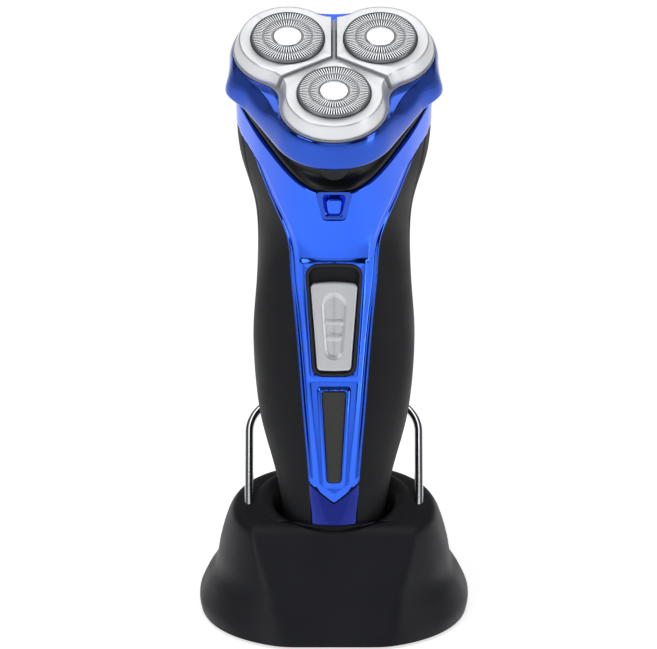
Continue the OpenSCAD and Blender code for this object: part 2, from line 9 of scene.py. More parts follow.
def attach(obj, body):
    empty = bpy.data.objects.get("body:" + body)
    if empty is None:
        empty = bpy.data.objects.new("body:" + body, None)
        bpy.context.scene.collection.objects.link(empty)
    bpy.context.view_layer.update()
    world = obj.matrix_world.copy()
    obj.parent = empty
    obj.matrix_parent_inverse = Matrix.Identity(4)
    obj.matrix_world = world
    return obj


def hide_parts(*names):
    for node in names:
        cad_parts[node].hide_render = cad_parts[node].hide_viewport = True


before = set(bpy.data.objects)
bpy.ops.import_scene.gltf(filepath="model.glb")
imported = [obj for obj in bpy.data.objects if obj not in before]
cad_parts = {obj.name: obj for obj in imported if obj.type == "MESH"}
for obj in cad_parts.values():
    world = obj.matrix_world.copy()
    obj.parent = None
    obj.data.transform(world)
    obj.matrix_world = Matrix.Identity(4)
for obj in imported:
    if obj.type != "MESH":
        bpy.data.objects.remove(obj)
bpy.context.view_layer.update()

bl_info = {
    "name": "Rotary shaver",
    "version": (1, 0, 0),
    "blender": (4, 5, 0),
    "location": "View3D > Sidebar > Shaver",
    "description": "Builds a rotary electric shaver and its charging stand around a packed frame",
    "category": "Object",
}

MM = 0.001
FULL = 2 * math.pi

# Lean of the shaver in its stand, and tilt of the head on the handle
LEAN = math.radians(18)
TILT = math.radians(42)
SEAT = Vector((0, -8, 17.7))
FACE = Vector((0, -16, 149.9))
CUTTER_ANGLES = [math.radians(a) for a in (30, 150, 270)]
CUTTER_PCR = 16

# Axis of the head's hinge, in the head's own frame
HINGE_V = 28.6
HINGE_W = -14

# Flats on the front of the handle: y, z and slope
SWITCH_FLAT = (-18.1, 70, 3.4)
WINDOW_FLAT = (-15.9, 36.4, 5.6)
BUTTON_FLAT = (-26.6, 105.6, 26)

# Rounded trapezoids: width at the foot and at the top, foot, top and corner radius
WINDOW = (4.2, 7.6, -13.8, 14, 1)
BUTTON = (3.6, 4.8, -2.4, 2.6, 1)

# Ring of the head, from its lower edge to its rim: radius and height
RING = [(18.9, -13.2), (19.45, -13.15), (19.7, -12.8), (19.72, -12.2), (19.55, -11),
        (19.3, -9.6), (18.95, -8.2), (18.5, -6.9), (18, -5.8), (17.6, -5.1),
        (17.35, -4.75), (17.2, -4.6)]
RING_RIM = (16.25, 7.6)

# Face plates, from their foot to the flat face: radius, fillet and height
PLATES = [(15.9, 7.9, -4.5), (16, 7.8, -4.3), (15.95, 7.85, -3.9), (15.7, 8.1, -3.2),
          (15.1, 8.7, -1.7), (14.7, 9.1, -0.7), (14.5, 9.3, -0.28), (14.25, 9.55, -0.06),
          (13.9, 9.9, 0)]

# Sections of the handle, as in the design: front y and z, rear y and z, half width,
# two egg factors and squareness
HANDLE = [
    (-9.6, 0, 9.6, 0, 10.5, 0, 0, 2.2),
    (-11.6, 2, 11.8, 2, 12.8, 0, 0, 2.2),
    (-14.6, 24, 15, 24, 17.1, 0, 0, 2.3),
    (-16.6, 44, 18.2, 44, 22.3, 0, 0, 2.4),
    (-17.8, 65, 20, 66, 24.2, 0, 0, 2.4),
    (-18.8, 82, 22.4, 88, 23.1, 0, 0, 2.4),
    (-21.6, 95, 24.6, 110, 22.6, 0.2, 0.05, 2.3),
    (-25.6, 103.6, 24.6, 130, 25, 0.45, 0.2, 2.15),
    (-28.3, 109.2, 17.3, 150.3, 24.6, 0.595, 0.333, 2),
]
TOP = len(HANDLE) - 1
PANEL = [(w,) for w in (6.4, 6.4, 7.6, 9.3, 11, 12.7, 14.2, 20.4, 28.6)]
PART_Y = 2.37

# Sections of the stand: height, half width, front y, rear y, squareness
STAND = [
    (0.8, 39.9, -42, 40, 2.3),
    (4, 40.3, -40, 39.6, 2.3),
    (9, 38.1, -37.4, 37.6, 2.3),
    (14, 35.3, -34.8, 34.8, 2.3),
    (20, 34.1, -31.8, 32.6, 2.3),
    (26, 32.5, -29.4, 30.6, 2.3),
    (31, 30.5, -28, 28.4, 2.2),
    (34.4, 27.1, -25, 25.6, 2.2),
    (36, 21.5, -19, 21, 2.1),
]


# ---- Settings a user would change ----

def hue(name, text, value):
    """Colour property whose default is a hex value."""
    return bpy.props.FloatVectorProperty(
        name=name, description=text, subtype="COLOR", size=3, min=0, max=1,
        default=linear(value)[:3])


def linear(value):
    """sRGB hex value to a linear colour with full alpha."""
    parts = [int(value[i:i + 2], 16) / 255 for i in (1, 3, 5)]
    return tuple(c / 12.92 if c <= 0.04045 else ((c + 0.055) / 1.055) ** 2.4
                 for c in parts) + (1.0,)


class ShaverColours(bpy.types.PropertyGroup):
    """Colours of the shaver's finishes."""
    blue: hue("Blue", "Metallised blue of the front panel and the head", "#2263f2")
    trim: hue("Dark blue", "Dark blue trim at the foot of the handle", "#0b2390")
    grip: hue("Grip", "Soft-touch black of the handle", "#151619")
    stand: hue("Stand", "Matte black of the stand", "#15161d")
    silver: hue("Silver", "Silver lacquer of the lobes", "#e4e5e8")
    slider: hue("Switch", "Silver lacquer of the switch", "#cfd0d4")


class ShaverSizes(bpy.types.PropertyGroup):
    """Sizes of the details that the frame leaves open."""
    outer_bars: bpy.props.IntProperty(
        name="Outer bars", description="Bars across the outer track of a guard",
        default=80, min=30, max=120)
    inner_bars: bpy.props.IntProperty(
        name="Inner bars", description="Bars across the inner track of a guard",
        default=54, min=20, max=90)
    bar_width: bpy.props.FloatProperty(
        name="Bar width", description="Width of one bar of a guard", unit="LENGTH",
        default=0.3 * MM, min=0.1 * MM, max=0.5 * MM)
    seam: bpy.props.FloatProperty(
        name="Seam", description="Depth of the groove between the two shells", unit="LENGTH",
        default=0.3 * MM, min=0, max=0.6 * MM)
    camera_distance: bpy.props.FloatProperty(
        name="Camera distance", description="From the camera to the shaver", unit="LENGTH",
        default=3, min=0.6, max=5)


# ---- Shapes ----

def spow(x, p):
    return math.copysign(abs(x) ** p, x)


def along(rows, t):
    """Smooth value of a list of stations at position t."""
    n = len(rows) - 1
    i = min(int(t), n - 1)
    f = t - i
    a, b, c, d = (rows[k] for k in (max(i - 1, 0), i, i + 1, min(i + 2, n)))
    return [0.5 * (2 * q + (r - p) * f + (2 * p - 5 * q + 4 * r - s) * f * f
                   + (3 * q - p - 3 * r + s) * f ** 3) for p, q, r, s in zip(a, b, c, d)]


def section_point(row, a, off):
    """Point of a section at angle a from its front, grown outwards by off, in mm."""
    fy, fz, ry, rz, half_w, egg, egg2, square = row
    q = 2 / square
    s = -spow(math.cos(a), q)
    c = spow(math.sin(a), q)
    run = Vector((ry - fy, rz - fz))
    half = run.length / 2
    mid = Vector((fy + ry, fz + rz)) / 2
    p = mid + run.normalized() * s * (half + off)
    return Vector(((half_w + off) * c * (1 + egg * s + egg2 * s * s), p.x, p.y))


def solve(f, target, lo, hi):
    """Where a rising function f reaches target."""
    for _ in range(26):
        mid = (lo + hi) / 2
        lo, hi = (mid, hi) if f(mid) < target else (lo, mid)
    return (lo + hi) / 2


def t_at(z):
    return solve(lambda t: along(HANDLE, t)[1], z, 0, TOP)


def angle_at(row, x):
    return solve(lambda a: section_point(row, a, 0).x, x, 0, math.radians(100))


def in_handle(p):
    """Handle frame in mm to world in metres."""
    return (Matrix.Rotation(-LEAN, 3, "X") @ Vector(p) + SEAT) * MM


def head_to_handle(p):
    return Matrix.Rotation(TILT, 3, "X") @ Vector(p) + FACE


def handle_to_head(p):
    return Matrix.Rotation(-TILT, 3, "X") @ (Vector(p) - FACE)


def in_head(p):
    """Head frame in mm to world in metres: +Z is the way the face looks."""
    return in_handle(head_to_handle(p))


def flat_frame(y, z, slope):
    """Map from a flat on the handle's front, +Z outwards and +Y up, to the world."""
    turn = Matrix.Rotation(math.radians(90 + slope), 3, "X")
    return lambda p: in_handle(turn @ Vector(p) + Vector((0, y, z)))


at_switch = flat_frame(*SWITCH_FLAT)
at_window = flat_frame(*WINDOW_FLAT)
at_button = flat_frame(*BUTTON_FLAT)


def smooth(x):
    x = min(max(x, 0), 1)
    return x * x * (3 - 2 * x)


def bump(x):
    """One at 0, falling smoothly to zero at 1 and -1."""
    return smooth(1 - abs(x))


def unit(a):
    """Unit vector in the plane at angle a."""
    return Vector((math.cos(a), math.sin(a)))


def lobed(r, fillet, n_arc=34, n_mid=22):
    """Outline round the three cutters: arcs of radius r, joined by fillets, or by straight
    lines where fillet is None."""
    pts = []
    for a in CUTTER_ANGLES:
        c = unit(a) * CUTTER_PCR
        half = CUTTER_PCR * math.sin(math.pi / 3)
        m = a + math.pi / 3
        if fillet is None:
            b = 0
        else:
            q = math.sqrt((r + fillet) ** 2 - half * half)
            b = math.atan2(half, q)
        for k in range(n_arc + 1):
            e = a + (2 * k / n_arc - 1) * (math.pi / 3 + b)
            pts.append(c + unit(e) * r)
        if fillet is None:
            c2 = unit(a + FULL / 3) * CUTTER_PCR
            side = unit(m) * r
            pts += [(c + side).lerp(c2 + side, k / n_mid) for k in range(1, n_mid)]
        else:
            fc = unit(m) * (CUTTER_PCR / 2 + q)
            for k in range(1, n_mid):
                e = m + math.pi + b - 2 * b * k / n_mid
                pts.append(fc + unit(e) * fillet)
    return pts


def polar(pts, n, centre=(0, -3)):
    """The same outline with n points at even angles round centre, starting at the front."""
    c = Vector(centre)
    out = []
    ring = [Vector(p[:2]) - c for p in pts]
    ring.append(ring[0])
    angles = [math.atan2(p.x, -p.y) for p in ring]
    spans = []
    for i in range(len(ring) - 1):
        turn = (angles[i + 1] - angles[i] + math.pi) % FULL - math.pi
        spans.append((angles[i], turn, ring[i], ring[i + 1]))
    for k in range(n):
        a = FULL * k / n
        d = Vector((math.sin(a), -math.cos(a)))
        best = None
        for a0, turn, p, q in spans:
            if turn == 0:
                continue
            at = ((a - a0 + math.pi) % FULL - math.pi) / turn
            if -1e-6 <= at <= 1 + 1e-6:
                e = q - p
                den = d.x * e.y - d.y * e.x
                if abs(den) > 1e-12:
                    s = (p.x * e.y - p.y * e.x) / den
                    if s > 0 and (best is None or s > best):
                        best = s
        out.append(c + d * best)
    return out


def rounded(pts, r, n=5):
    """Convex outline with its corners rounded."""
    out = []
    for i, p in enumerate(pts):
        p, a, b = Vector(p), Vector(pts[i - 1]), Vector(pts[(i + 1) % len(pts)])
        ua, ub = (a - p).normalized(), (b - p).normalized()
        um = (ua + ub).normalized()
        half = math.acos(max(-1, min(1, ua.dot(ub)))) / 2
        c = p + um * r / math.sin(half)
        start = math.atan2(-um.y, -um.x)
        for k in range(-n, n + 1):
            e = start + k / n * (math.pi / 2 - half)
            out.append(c + unit(e) * r)
    return out


def wedge(w0, w1, y0, y1, r, inset=0.0):
    """Rounded trapezoid, w0 wide at y0 and w1 wide at y1, moved inwards by inset."""
    w0, w1, y0, y1 = w0 / 2 - inset, w1 / 2 - inset, y0 + inset, y1 - inset
    return rounded([(w0, y0), (w1, y1), (-w1, y1), (-w0, y0)], max(r - inset, 0.25))


# ---- Meshes ----

def piece(name, verts, faces, finish=None, sharp=30):
    """New smooth mesh object at the origin, with its faces turned outwards."""
    mesh = bpy.data.meshes.new(name)
    mesh.from_pydata([tuple(v) for v in verts], [], faces)
    bm = bmesh.new()
    bm.from_mesh(mesh)
    bmesh.ops.remove_doubles(bm, verts=bm.verts, dist=1e-7)
    bmesh.ops.recalc_face_normals(bm, faces=bm.faces)
    bm.to_mesh(mesh)
    bm.free()
    obj = bpy.data.objects.new(name, mesh)
    bpy.context.scene.collection.objects.link(obj)
    soften(obj, sharp)
    if finish:
        mesh.materials.append(finish)
    return obj


def soften(obj, sharp=30):
    obj.data.shade_smooth()
    obj.data.set_sharp_from_angle(angle=math.radians(sharp))


def loops_piece(name, loops, finish=None, close=False, sharp=30):
    """Closed solid through loops of equal length; close joins the last loop to the first."""
    n, m = len(loops[0]), len(loops)
    verts = [v for loop in loops for v in loop]
    faces = []
    for j in range(m if close else m - 1):
        for i in range(n):
            k, j2 = (i + 1) % n, (j + 1) % m
            faces.append((j * n + i, j * n + k, j2 * n + k, j2 * n + i))
    if not close:
        for j in (0, m - 1):
            mid = sum((Vector(v) for v in loops[j]), Vector()) / n
            verts.append(mid)
            faces += [(j * n + i, j * n + (i + 1) % n, len(verts) - 1) for i in range(n)]
    return piece(name, verts, faces, finish, sharp)


def skin_piece(name, outer, inner, finish=None, sharp=30):
    """Closed solid between two open grids of points of the same size."""
    m, n = len(outer), len(outer[0])
    verts = [p for row in outer for p in row] + [p for row in inner for p in row]
    half = m * n
    faces = []
    for j in range(m - 1):
        for i in range(n - 1):
            quad = (j * n + i, j * n + i + 1, (j + 1) * n + i + 1, (j + 1) * n + i)
            faces.append(quad)
            faces.append(tuple(half + v for v in reversed(quad)))
    rim = ([i for i in range(n)] + [j * n + n - 1 for j in range(1, m)]
           + [(m - 1) * n + i for i in range(n - 2, -1, -1)]
           + [j * n for j in range(m - 2, 0, -1)])
    for a, b in zip(rim, rim[1:] + rim[:1]):
        faces.append((a, b, half + b, half + a))
    return piece(name, verts, faces, finish, sharp)


def apply_modifiers(obj):
    """Turns the evaluated object into its own plain mesh."""
    bpy.context.view_layer.update()
    graph = bpy.context.evaluated_depsgraph_get()
    mesh = bpy.data.meshes.new_from_object(obj.evaluated_get(graph))
    obj.modifiers.clear()
    obj.data = mesh
    return obj


def cut(obj, *cutters):
    """Takes the cutters' solids out of obj and deletes them."""
    for c in cutters:
        mod = obj.modifiers.new("cut", "BOOLEAN")
        mod.operation = "DIFFERENCE"
        mod.solver = "EXACT"
        mod.object = c
    apply_modifiers(obj)
    for c in cutters:
        bpy.data.objects.remove(c)
    return obj


def bevel(obj, width, angle=50, segments=2):
    mod = obj.modifiers.new("bevel", "BEVEL")
    mod.width = width * MM
    mod.segments = segments
    mod.limit_method = "ANGLE"
    mod.angle_limit = math.radians(angle)
    apply_modifiers(obj)
    return obj


def fine(outline, step=0.4):
    """An outline that depends on its inset, split so that no edge is longer than step and
    every inset has the same number of points."""
    base = outline(0)
    splits = [max(1, math.ceil((base[(i + 1) % len(base)] - p).length / step))
              for i, p in enumerate(base)]

    def split(inset):
        pts = outline(inset)
        return [p.lerp(pts[(i + 1) % len(pts)], k / m)
                for i, (p, m) in enumerate(zip(pts, splits)) for k in range(m)]
    return split


def bowed(pts, y_mid, high, low, half):
    """Outline whose upper edge bows up by high and whose lower edge bows down by low."""
    out = []
    for p in pts:
        k = max(0, 1 - (p.x / half) ** 2)
        reach = p.y - y_mid
        bow = (high if reach > 0 else low) * k * smooth((abs(reach) - 4) / 6)
        out.append(Vector((p.x, p.y + math.copysign(bow, reach))))
    return out


def slab(name, outline, z0, z1, place, finish=None):
    return loops_piece(name, [[place((p[0], p[1], z)) for p in outline] for z in (z0, z1)],
                       finish)


def stacked(outline, profile, place):
    """Loops of an outline that depends on its inset, for each inset and height of a profile."""
    return [[place((p.x, p.y, z)) for p in outline(inset)] for inset, z in profile]


def spun(name, profile, place, finish, n=96, close=False, sharp=30):
    """Solid turned from a profile of (radius, height) pairs; a zero radius closes an end."""
    loops = [[place((r * math.cos(FULL * i / n), r * math.sin(FULL * i / n), z))
              for i in range(n)] for r, z in profile]
    return loops_piece(name, loops, finish, close, sharp)


def join(name, objs):
    """Joins plain mesh objects into one, keeping their materials."""
    bm = bmesh.new()
    mats = []
    for o in objs:
        for m in o.data.materials:
            if m not in mats:
                mats.append(m)
    for o in objs:
        start = len(bm.faces)
        index = {i: mats.index(m) for i, m in enumerate(o.data.materials)}
        bm.from_mesh(o.data)
        bm.faces.ensure_lookup_table()
        for f in bm.faces[start:]:
            f.material_index = index.get(f.material_index, 0)
    mesh = bpy.data.meshes.new(name)
    bm.to_mesh(mesh)
    bm.free()
    for m in mats:
        mesh.materials.append(m)
    obj = bpy.data.objects.new(name, mesh)
    bpy.context.scene.collection.objects.link(obj)
    for o in objs:
        bpy.data.objects.remove(o)
    return obj


def seat(obj, body, slot, *nodes):
    """Ties a finished piece to its body and hides the nodes that it stands for; slot is not used.
    """
    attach(obj, body)
    if nodes:
        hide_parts(*nodes)


# ---- Materials ----

def node(tree, kind, links=None, **settings):
    """Adds a node: settings are its properties or, where the name isn't one, its inputs."""
    new = tree.nodes.new(kind)
    for key, value in settings.items():
        if hasattr(new, key):
            setattr(new, key, value)
        else:
            new.inputs[key.replace("_", " ")].default_value = value
    for key, source in (links or {}).items():
        socket = new.inputs[key] if isinstance(key, int) else new.inputs[key.replace("_", " ")]
        tree.links.new(source, socket)
    return new


def surface(name, colour, **settings):
    """New material with a Principled shader; returns it with its tree and shader."""
    mat = bpy.data.materials.new(name)
    mat.use_nodes = True
    tree = mat.node_tree
    shader = tree.nodes["Principled BSDF"]
    shader.inputs["Base Color"].default_value = colour
    for key, value in settings.items():
        shader.inputs[key.replace("_", " ")].default_value = value
    return mat, tree, shader


def grain(tree, shader, size_mm, height_mm, detail=2.0, strength=1.0):
    """Moulded or sprayed texture: bump from noise whose grains are size_mm across."""
    coord = node(tree, "ShaderNodeTexCoord")
    noise = node(tree, "ShaderNodeTexNoise", {"Vector": coord.outputs["Object"]},
                 Scale=1 / (size_mm * MM), Detail=detail, Roughness=0.6)
    knob = node(tree, "ShaderNodeBump", {"Height": noise.outputs["Fac"]},
                Strength=strength, Distance=height_mm * MM)
    tree.links.new(knob.outputs["Normal"], shader.inputs["Normal"])
    return coord


def vary(tree, shader, coord, socket, size_mm, low, high):
    """Slow change of a colour or a value over the surface, between low and high."""
    noise = node(tree, "ShaderNodeTexNoise", {"Vector": coord.outputs["Object"]},
                 Scale=1 / (size_mm * MM), Detail=3.0)
    if isinstance(low, tuple):
        mix = node(tree, "ShaderNodeMix", {0: noise.outputs["Fac"]}, data_type="RGBA")
        mix.inputs[6].default_value = low
        mix.inputs[7].default_value = high
        tree.links.new(mix.outputs[2], shader.inputs[socket])
    else:
        span = node(tree, "ShaderNodeMapRange", {"Value": noise.outputs["Fac"]},
                    From_Min=0.3, From_Max=0.7, To_Min=low, To_Max=high)
        tree.links.new(span.outputs["Result"], shader.inputs[socket])


def shade(colour, k):
    return tuple(min(1, c * k) for c in colour[:3]) + (1.0,)


def coating(name, colour, rough, grains, wear, tint=None, **settings):
    """Material with grains (size, height, strength and detail of the bump), wear (size and
    range of the roughness) and a tint (size and range of the brightness)."""
    mat, tree, shader = surface(name, colour, Roughness=rough, **settings)
    size, height, strength, detail = grains
    coord = grain(tree, shader, size, height, detail, strength)
    size, low, high = wear
    vary(tree, shader, coord, "Roughness", size, rough + low, rough + high)
    if tint:
        size, low, high = tint
        vary(tree, shader, coord, "Base Color", size, shade(colour, low), shade(colour, high))
    return mat


def metallised_blue(name, colour):
    """Vacuum-metallised ABS under blue lacquer: a tinted mirror with slight orange peel."""
    return coating(name, colour, 0.12, (5, 0.03, 0.25, 1.0), (12, -0.03, 0.03),
                   (18, 0.94, 1.06), Metallic=1.0, Coat_Weight=0.6, Coat_Roughness=0.03)


def soft_touch(name, colour, rough=0.56):
    """Rubbery soft-touch lacquer on ABS: nearly matte, with a fine even grain."""
    # The real grain is about 0.1 mm; it is drawn at 0.35 mm so that it shows
    return coating(name, colour, rough, (0.35, 0.02, 0.35, 2.0), (14, -0.05, 0.06),
                   (25, 0.9, 1.12), Specular_IOR_Level=0.22)


def spark_eroded(name, colour, rough=0.5):
    """ABS moulded in a spark-eroded tool: satin, with a pebbled 0.3 mm texture."""
    return coating(name, colour, rough, (0.3, 0.03, 0.4, 3.0), (10, -0.05, 0.05),
                   (22, 0.92, 1.1), Specular_IOR_Level=0.3)


def gloss_abs(name, colour, rough=0.12):
    """Polished moulded ABS: deep gloss with faint mould waviness."""
    return coating(name, colour, rough, (3, 0.02, 0.2, 1.0), (8, 0, 0.06), Coat_Weight=0.3)


def silver_lacquer(name, colour, rough=0.32):
    """Silver flake lacquer on ABS: bright, softly reflecting, with fine flakes."""
    # Flakes of about 0.05 mm, drawn at 0.12 mm so that they show
    return coating(name, colour, rough, (0.12, 0.004, 0.25, 2.0), (9, -0.04, 0.05),
                   (0.4, 0.95, 1.05), Metallic=0.55, Coat_Weight=0.35, Coat_Roughness=0.12)


def polished_chrome(name):
    """Chromium plate on drawn steel wire: a clean mirror with faint draw lines."""
    return coating(name, linear("#dfe1e4"), 0.07, (1.5, 0.01, 0.15, 1.0), (4, -0.03, 0.03),
                   Metallic=1.0)


def drawn_metal(name, colour, rough=0.3):
    """Plated or drawn metal of the inner works, slightly uneven."""
    return coating(name, colour, rough, (0.5, 0.01, 0.3, 2.0), (2, -0.08, 0.1), Metallic=1.0)


def turned_steel(name, colour, centre, rough=0.24):
    """Ground stainless steel: fine rings round the guard's own axis."""
    mat, tree, shader = surface(name, colour, Metallic=1.0, Roughness=rough)
    coord = node(tree, "ShaderNodeTexCoord")
    place = node(tree, "ShaderNodeMapping", {"Vector": coord.outputs["Object"]},
                 vector_type="TEXTURE")
    place.inputs["Location"].default_value = centre
    place.inputs["Rotation"].default_value = (TILT - LEAN, 0, 0)
    rings = node(tree, "ShaderNodeTexWave", {"Vector": place.outputs["Vector"]},
                 wave_type="RINGS", rings_direction="Z", Scale=1 / (0.9 * MM),
                 Distortion=0.6, Detail=2.0)
    lift = node(tree, "ShaderNodeBump", {"Height": rings.outputs["Fac"]},
                Strength=0.25, Distance=0.01 * MM)
    tree.links.new(lift.outputs["Normal"], shader.inputs["Normal"])
    vary(tree, shader, coord, "Roughness", 1.5, rough - 0.06, rough + 0.08)
    return mat


# ---- Operators: one for each piece or group ----

FINISH = {}


class SHAVER_OT_finishes(bpy.types.Operator):
    """Makes the materials that the pieces share"""
    bl_idname = "shaver.finishes"
    bl_label = "Finishes"

    def execute(self, context):
        c = context.scene.shaver_colours
        full = {k: tuple(getattr(c, k)) + (1.0,)
                for k in ("blue", "trim", "grip", "stand", "silver", "slider")}
        FINISH.update({
            "blue": metallised_blue("metallised_blue_abs", full["blue"]),
            "trim": metallised_blue("metallised_dark_blue_abs", full["trim"]),
            "grip": soft_touch("soft_touch_black", full["grip"]),
            "stand": spark_eroded("spark_eroded_black_abs", full["stand"]),
            # The head's finish is the panel's blue darkened to 0.56: painted shade standing in
            # for the darker reflections on the ring's flanks
            "ring": metallised_blue("metallised_blue_painted_shade", shade(full["blue"], 0.56)),
            "silver": silver_lacquer("silver_lacquer", full["silver"]),
            "slider": silver_lacquer("switch_silver_lacquer", full["slider"], 0.36),
            "neck": spark_eroded("black_satin_abs", linear("#0e0f11"), 0.34),
            "bezel": spark_eroded("dark_grey_satin_abs", linear("#2a2b2e"), 0.4),
            "window": gloss_abs("smoked_polycarbonate", linear("#14140f"), 0.06),
            "chrome": polished_chrome("chrome_plated_wire"),
            "frame": spark_eroded("grey_satin_abs", linear("#b4b7bd"), 0.42),
            "rubber": soft_touch("black_rubber", linear("#101012"), 0.75),
            "steel": drawn_metal("zinc_plated_steel", linear("#a9abb0")),
            "brass": drawn_metal("gold_plated_brass", linear("#d8b45c"), 0.22),
            "board": gloss_abs("solder_mask", linear("#1f5a34"), 0.3),
            "acetal": spark_eroded("natural_acetal", linear("#e9e6da"), 0.38),
            "wrap": gloss_abs("shrink_wrap", linear("#2f7a46"), 0.2),
            "led": gloss_abs("clear_epoxy", linear("#dfe8cf"), 0.08),
        })
        return {"FINISHED"}


CAD_FINISH = {
    "rubber": ("stand_feet", "shaft_seals"),
    "stand": ("stand_base_plate", "stand_contact_block", "stand_inlet"),
    "steel": ("stand_screws", "body_screws", "motor_shaft", "head_hinge_pin", "button_spring",
              "motor_can"),
    "brass": ("stand_contact_pins", "stand_inlet_pin", "inlet_contacts", "pinion",
              "battery_tabs"),
    "board": ("stand_circuit_board", "circuit_board"),
    "bezel": ("slide_switch", "charging_inlet", "lock_knob"),
    "neck": ("bottom_cap", "latch_tongue"),
    "frame": ("head_frame", "retaining_plate", "chamber_floor"),
    "acetal": ("drive_gear_1", "drive_gear_2", "drive_gear_3", "drive_shaft_1",
               "drive_shaft_2", "drive_shaft_3", "gear_plate", "chassis", "motor_end_cap"),
    "wrap": ("battery",),
    "led": ("indicator_leds",),
}


class SHAVER_OT_inner_works(bpy.types.Operator):
    """Gives the frame's own nodes their materials"""
    bl_idname = "shaver.inner_works"
    bl_label = "Inner works"

    def execute(self, context):
        for key, names in CAD_FINISH.items():
            for name in names:
                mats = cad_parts[name].data.materials
                mats.clear()
                mats.append(FINISH[key])
        return {"FINISHED"}


def stand_top(y):
    """Height of the stand's gently sloping top."""
    return 33.3 + 0.1228 * y


def stand_outline(z, inset, n):
    """Outline of the stand at height z, with its flat front, as (x, y) in mm."""
    t = solve(lambda k: along(STAND, k)[0], z, 0, len(STAND) - 1)
    h, half_w, fy, ry, square = along(STAND, t)
    row = (fy, 0, ry, 0, half_w, 0, 0, square)
    front = -40.6 + z * math.tan(math.radians(36)) + inset
    out = []
    for i in range(n):
        p = section_point(row, FULL * i / n, -inset)
        # The sloping front flat, with a narrow rounded crease round it
        d = p.y - front
        y = front + (d if d > 1 else 0 if d < -1 else (d + 1) ** 2 / 4)
        out.append(Vector((p.x, y)))
    return out


def cradle_ring(n, depth):
    """Wall of the room for the handle, depth under the stand's top, in mm."""
    ring = []
    lip = 1.3 * math.exp(-depth / 0.5)
    for i in range(n):
        a = FULL * i / n

        def wall(t):
            row = along(HANDLE, t)
            off = 0.9 + max(0, (row[1] - 9) * 0.24) + lip
            return in_handle(section_point(row, a, off)) / MM

        def over(t):
            p = wall(t)
            return p.z - stand_top(p.y) + depth
        ring.append(wall(solve(over, 0, 0, 3.4)))
    return ring


class SHAVER_OT_stand(bpy.types.Operator):
    """Stand shell with its flat front, dished collar and cradle"""
    bl_idname = "shaver.stand"
    bl_label = "Stand"

    def execute(self, context):
        n = 288
        loops = []
        for z, inset in ((4.4, 3), (0.8, 2.8), (0.7, 0.5)):
            loops.append([Vector((p.x, p.y, z)) * MM for p in stand_outline(z, inset, n)])
        levels = 64
        crest = []
        for j in range(levels + 1):
            s = j / levels
            s = s if s < 0.7 else 0.7 + 0.3 * math.sin((s - 0.7) / 0.3 * math.pi / 2)
            z0 = 0.9 + s * (35.6 - 0.9)
            loop = []
            for p in stand_outline(z0, 0, n):
                top = stand_top(p.y)
                over = z0 - (top - 2.5)
                z = z0 if over < 0 else top - 2.5 + 2.4 * (1 - math.exp(-over / 2.4))
                loop.append(Vector((p.x, p.y, z)))
            loops.append([v * MM for v in loop])
            crest = loop
        # From the crest over the rounded rim and down into the cradle
        dish = [cradle_ring(n, depth) for depth in (0, 0.12, 0.35, 0.75, 1.4, 3, 5.5, 9)]
        row = along(HANDLE, 0)
        dish.append([in_handle(section_point(row, FULL * i / n, 0.9) - Vector((0, 0, 0.4))) / MM
                     for i in range(n)])
        for k in range(1, 7):
            f = k / 7
            loops.append([(crest[i].lerp(dish[0][i], f)
                           + Vector((0, 0, 0.35 * math.sin(f * math.pi)))) * MM
                          for i in range(n)])
        loops += [[v * MM for v in ring] for ring in dish]
        obj = loops_piece("stand_body", loops, FINISH["stand"], sharp=50)
        seat(obj, "stand", "stand_plastic", "stand_shell")
        return {"FINISHED"}


class SHAVER_OT_bail(bpy.types.Operator):
    """Chrome wire that the shaver leans on"""
    bl_idname = "shaver.bail"
    bl_label = "Wire rest"

    def execute(self, context):
        side, length, bend, r = 25.5, 46, 12, 1.3
        rise = math.radians(39.5)
        path = [(-side, -8 + k * (length - bend + 8) / 12) for k in range(12)]
        path += [(-side + bend - bend * math.cos(a), length - bend + bend * math.sin(a))
                 for a in [math.pi / 2 * k / 24 for k in range(25)]]
        path += [(-p[0], p[1]) for p in reversed(path)]
        loops = []
        for i, p in enumerate(path):
            a, b = path[max(i - 1, 0)], path[min(i + 1, len(path) - 1)]
            d = Vector((b[0] - a[0], b[1] - a[1])).normalized()
            ring = []
            for k in range(28):
                c, s = math.cos(FULL * k / 28), math.sin(FULL * k / 28)
                q = Vector((p[0] - d.y * r * c, p[1] + d.x * r * c, r * s))
                q = Matrix.Rotation(rise, 3, "X") @ q + Vector((0, -9, 26))
                ring.append(q * MM)
            loops.append(ring)
        obj = loops_piece("wire_rest", loops, FINISH["chrome"])
        seat(obj, "stand", "bail_chrome", "support_bail")
        return {"FINISHED"}


def parting_angle(row):
    """Angle where a section crosses the plane between the two shells."""
    return solve(lambda a: section_point(row, a, 0).y, PART_Y, 0, math.pi)


def shell_grid(front, off, seam, rows=150, cols=90):
    """Grid of points over one shell, off from the outer surface, in the handle frame."""
    grid = []
    for j in range(rows + 1):
        row = along(HANDLE, 1 + (TOP - 1) * j / rows)
        a = parting_angle(row)
        lo, hi = (-a, a) if front else (a, FULL - a)
        line = []
        for i in range(cols + 1):
            q = i / cols
            # Closer points near the seam
            q = q - math.sin(q * FULL) / FULL * 0.75
            edge = min(q, 1 - q) * (hi - lo)
            groove = seam * bump(edge / 0.035) if seam else 0
            line.append(section_point(row, lo + (hi - lo) * q, off - groove))
        grid.append(line)
    return grid


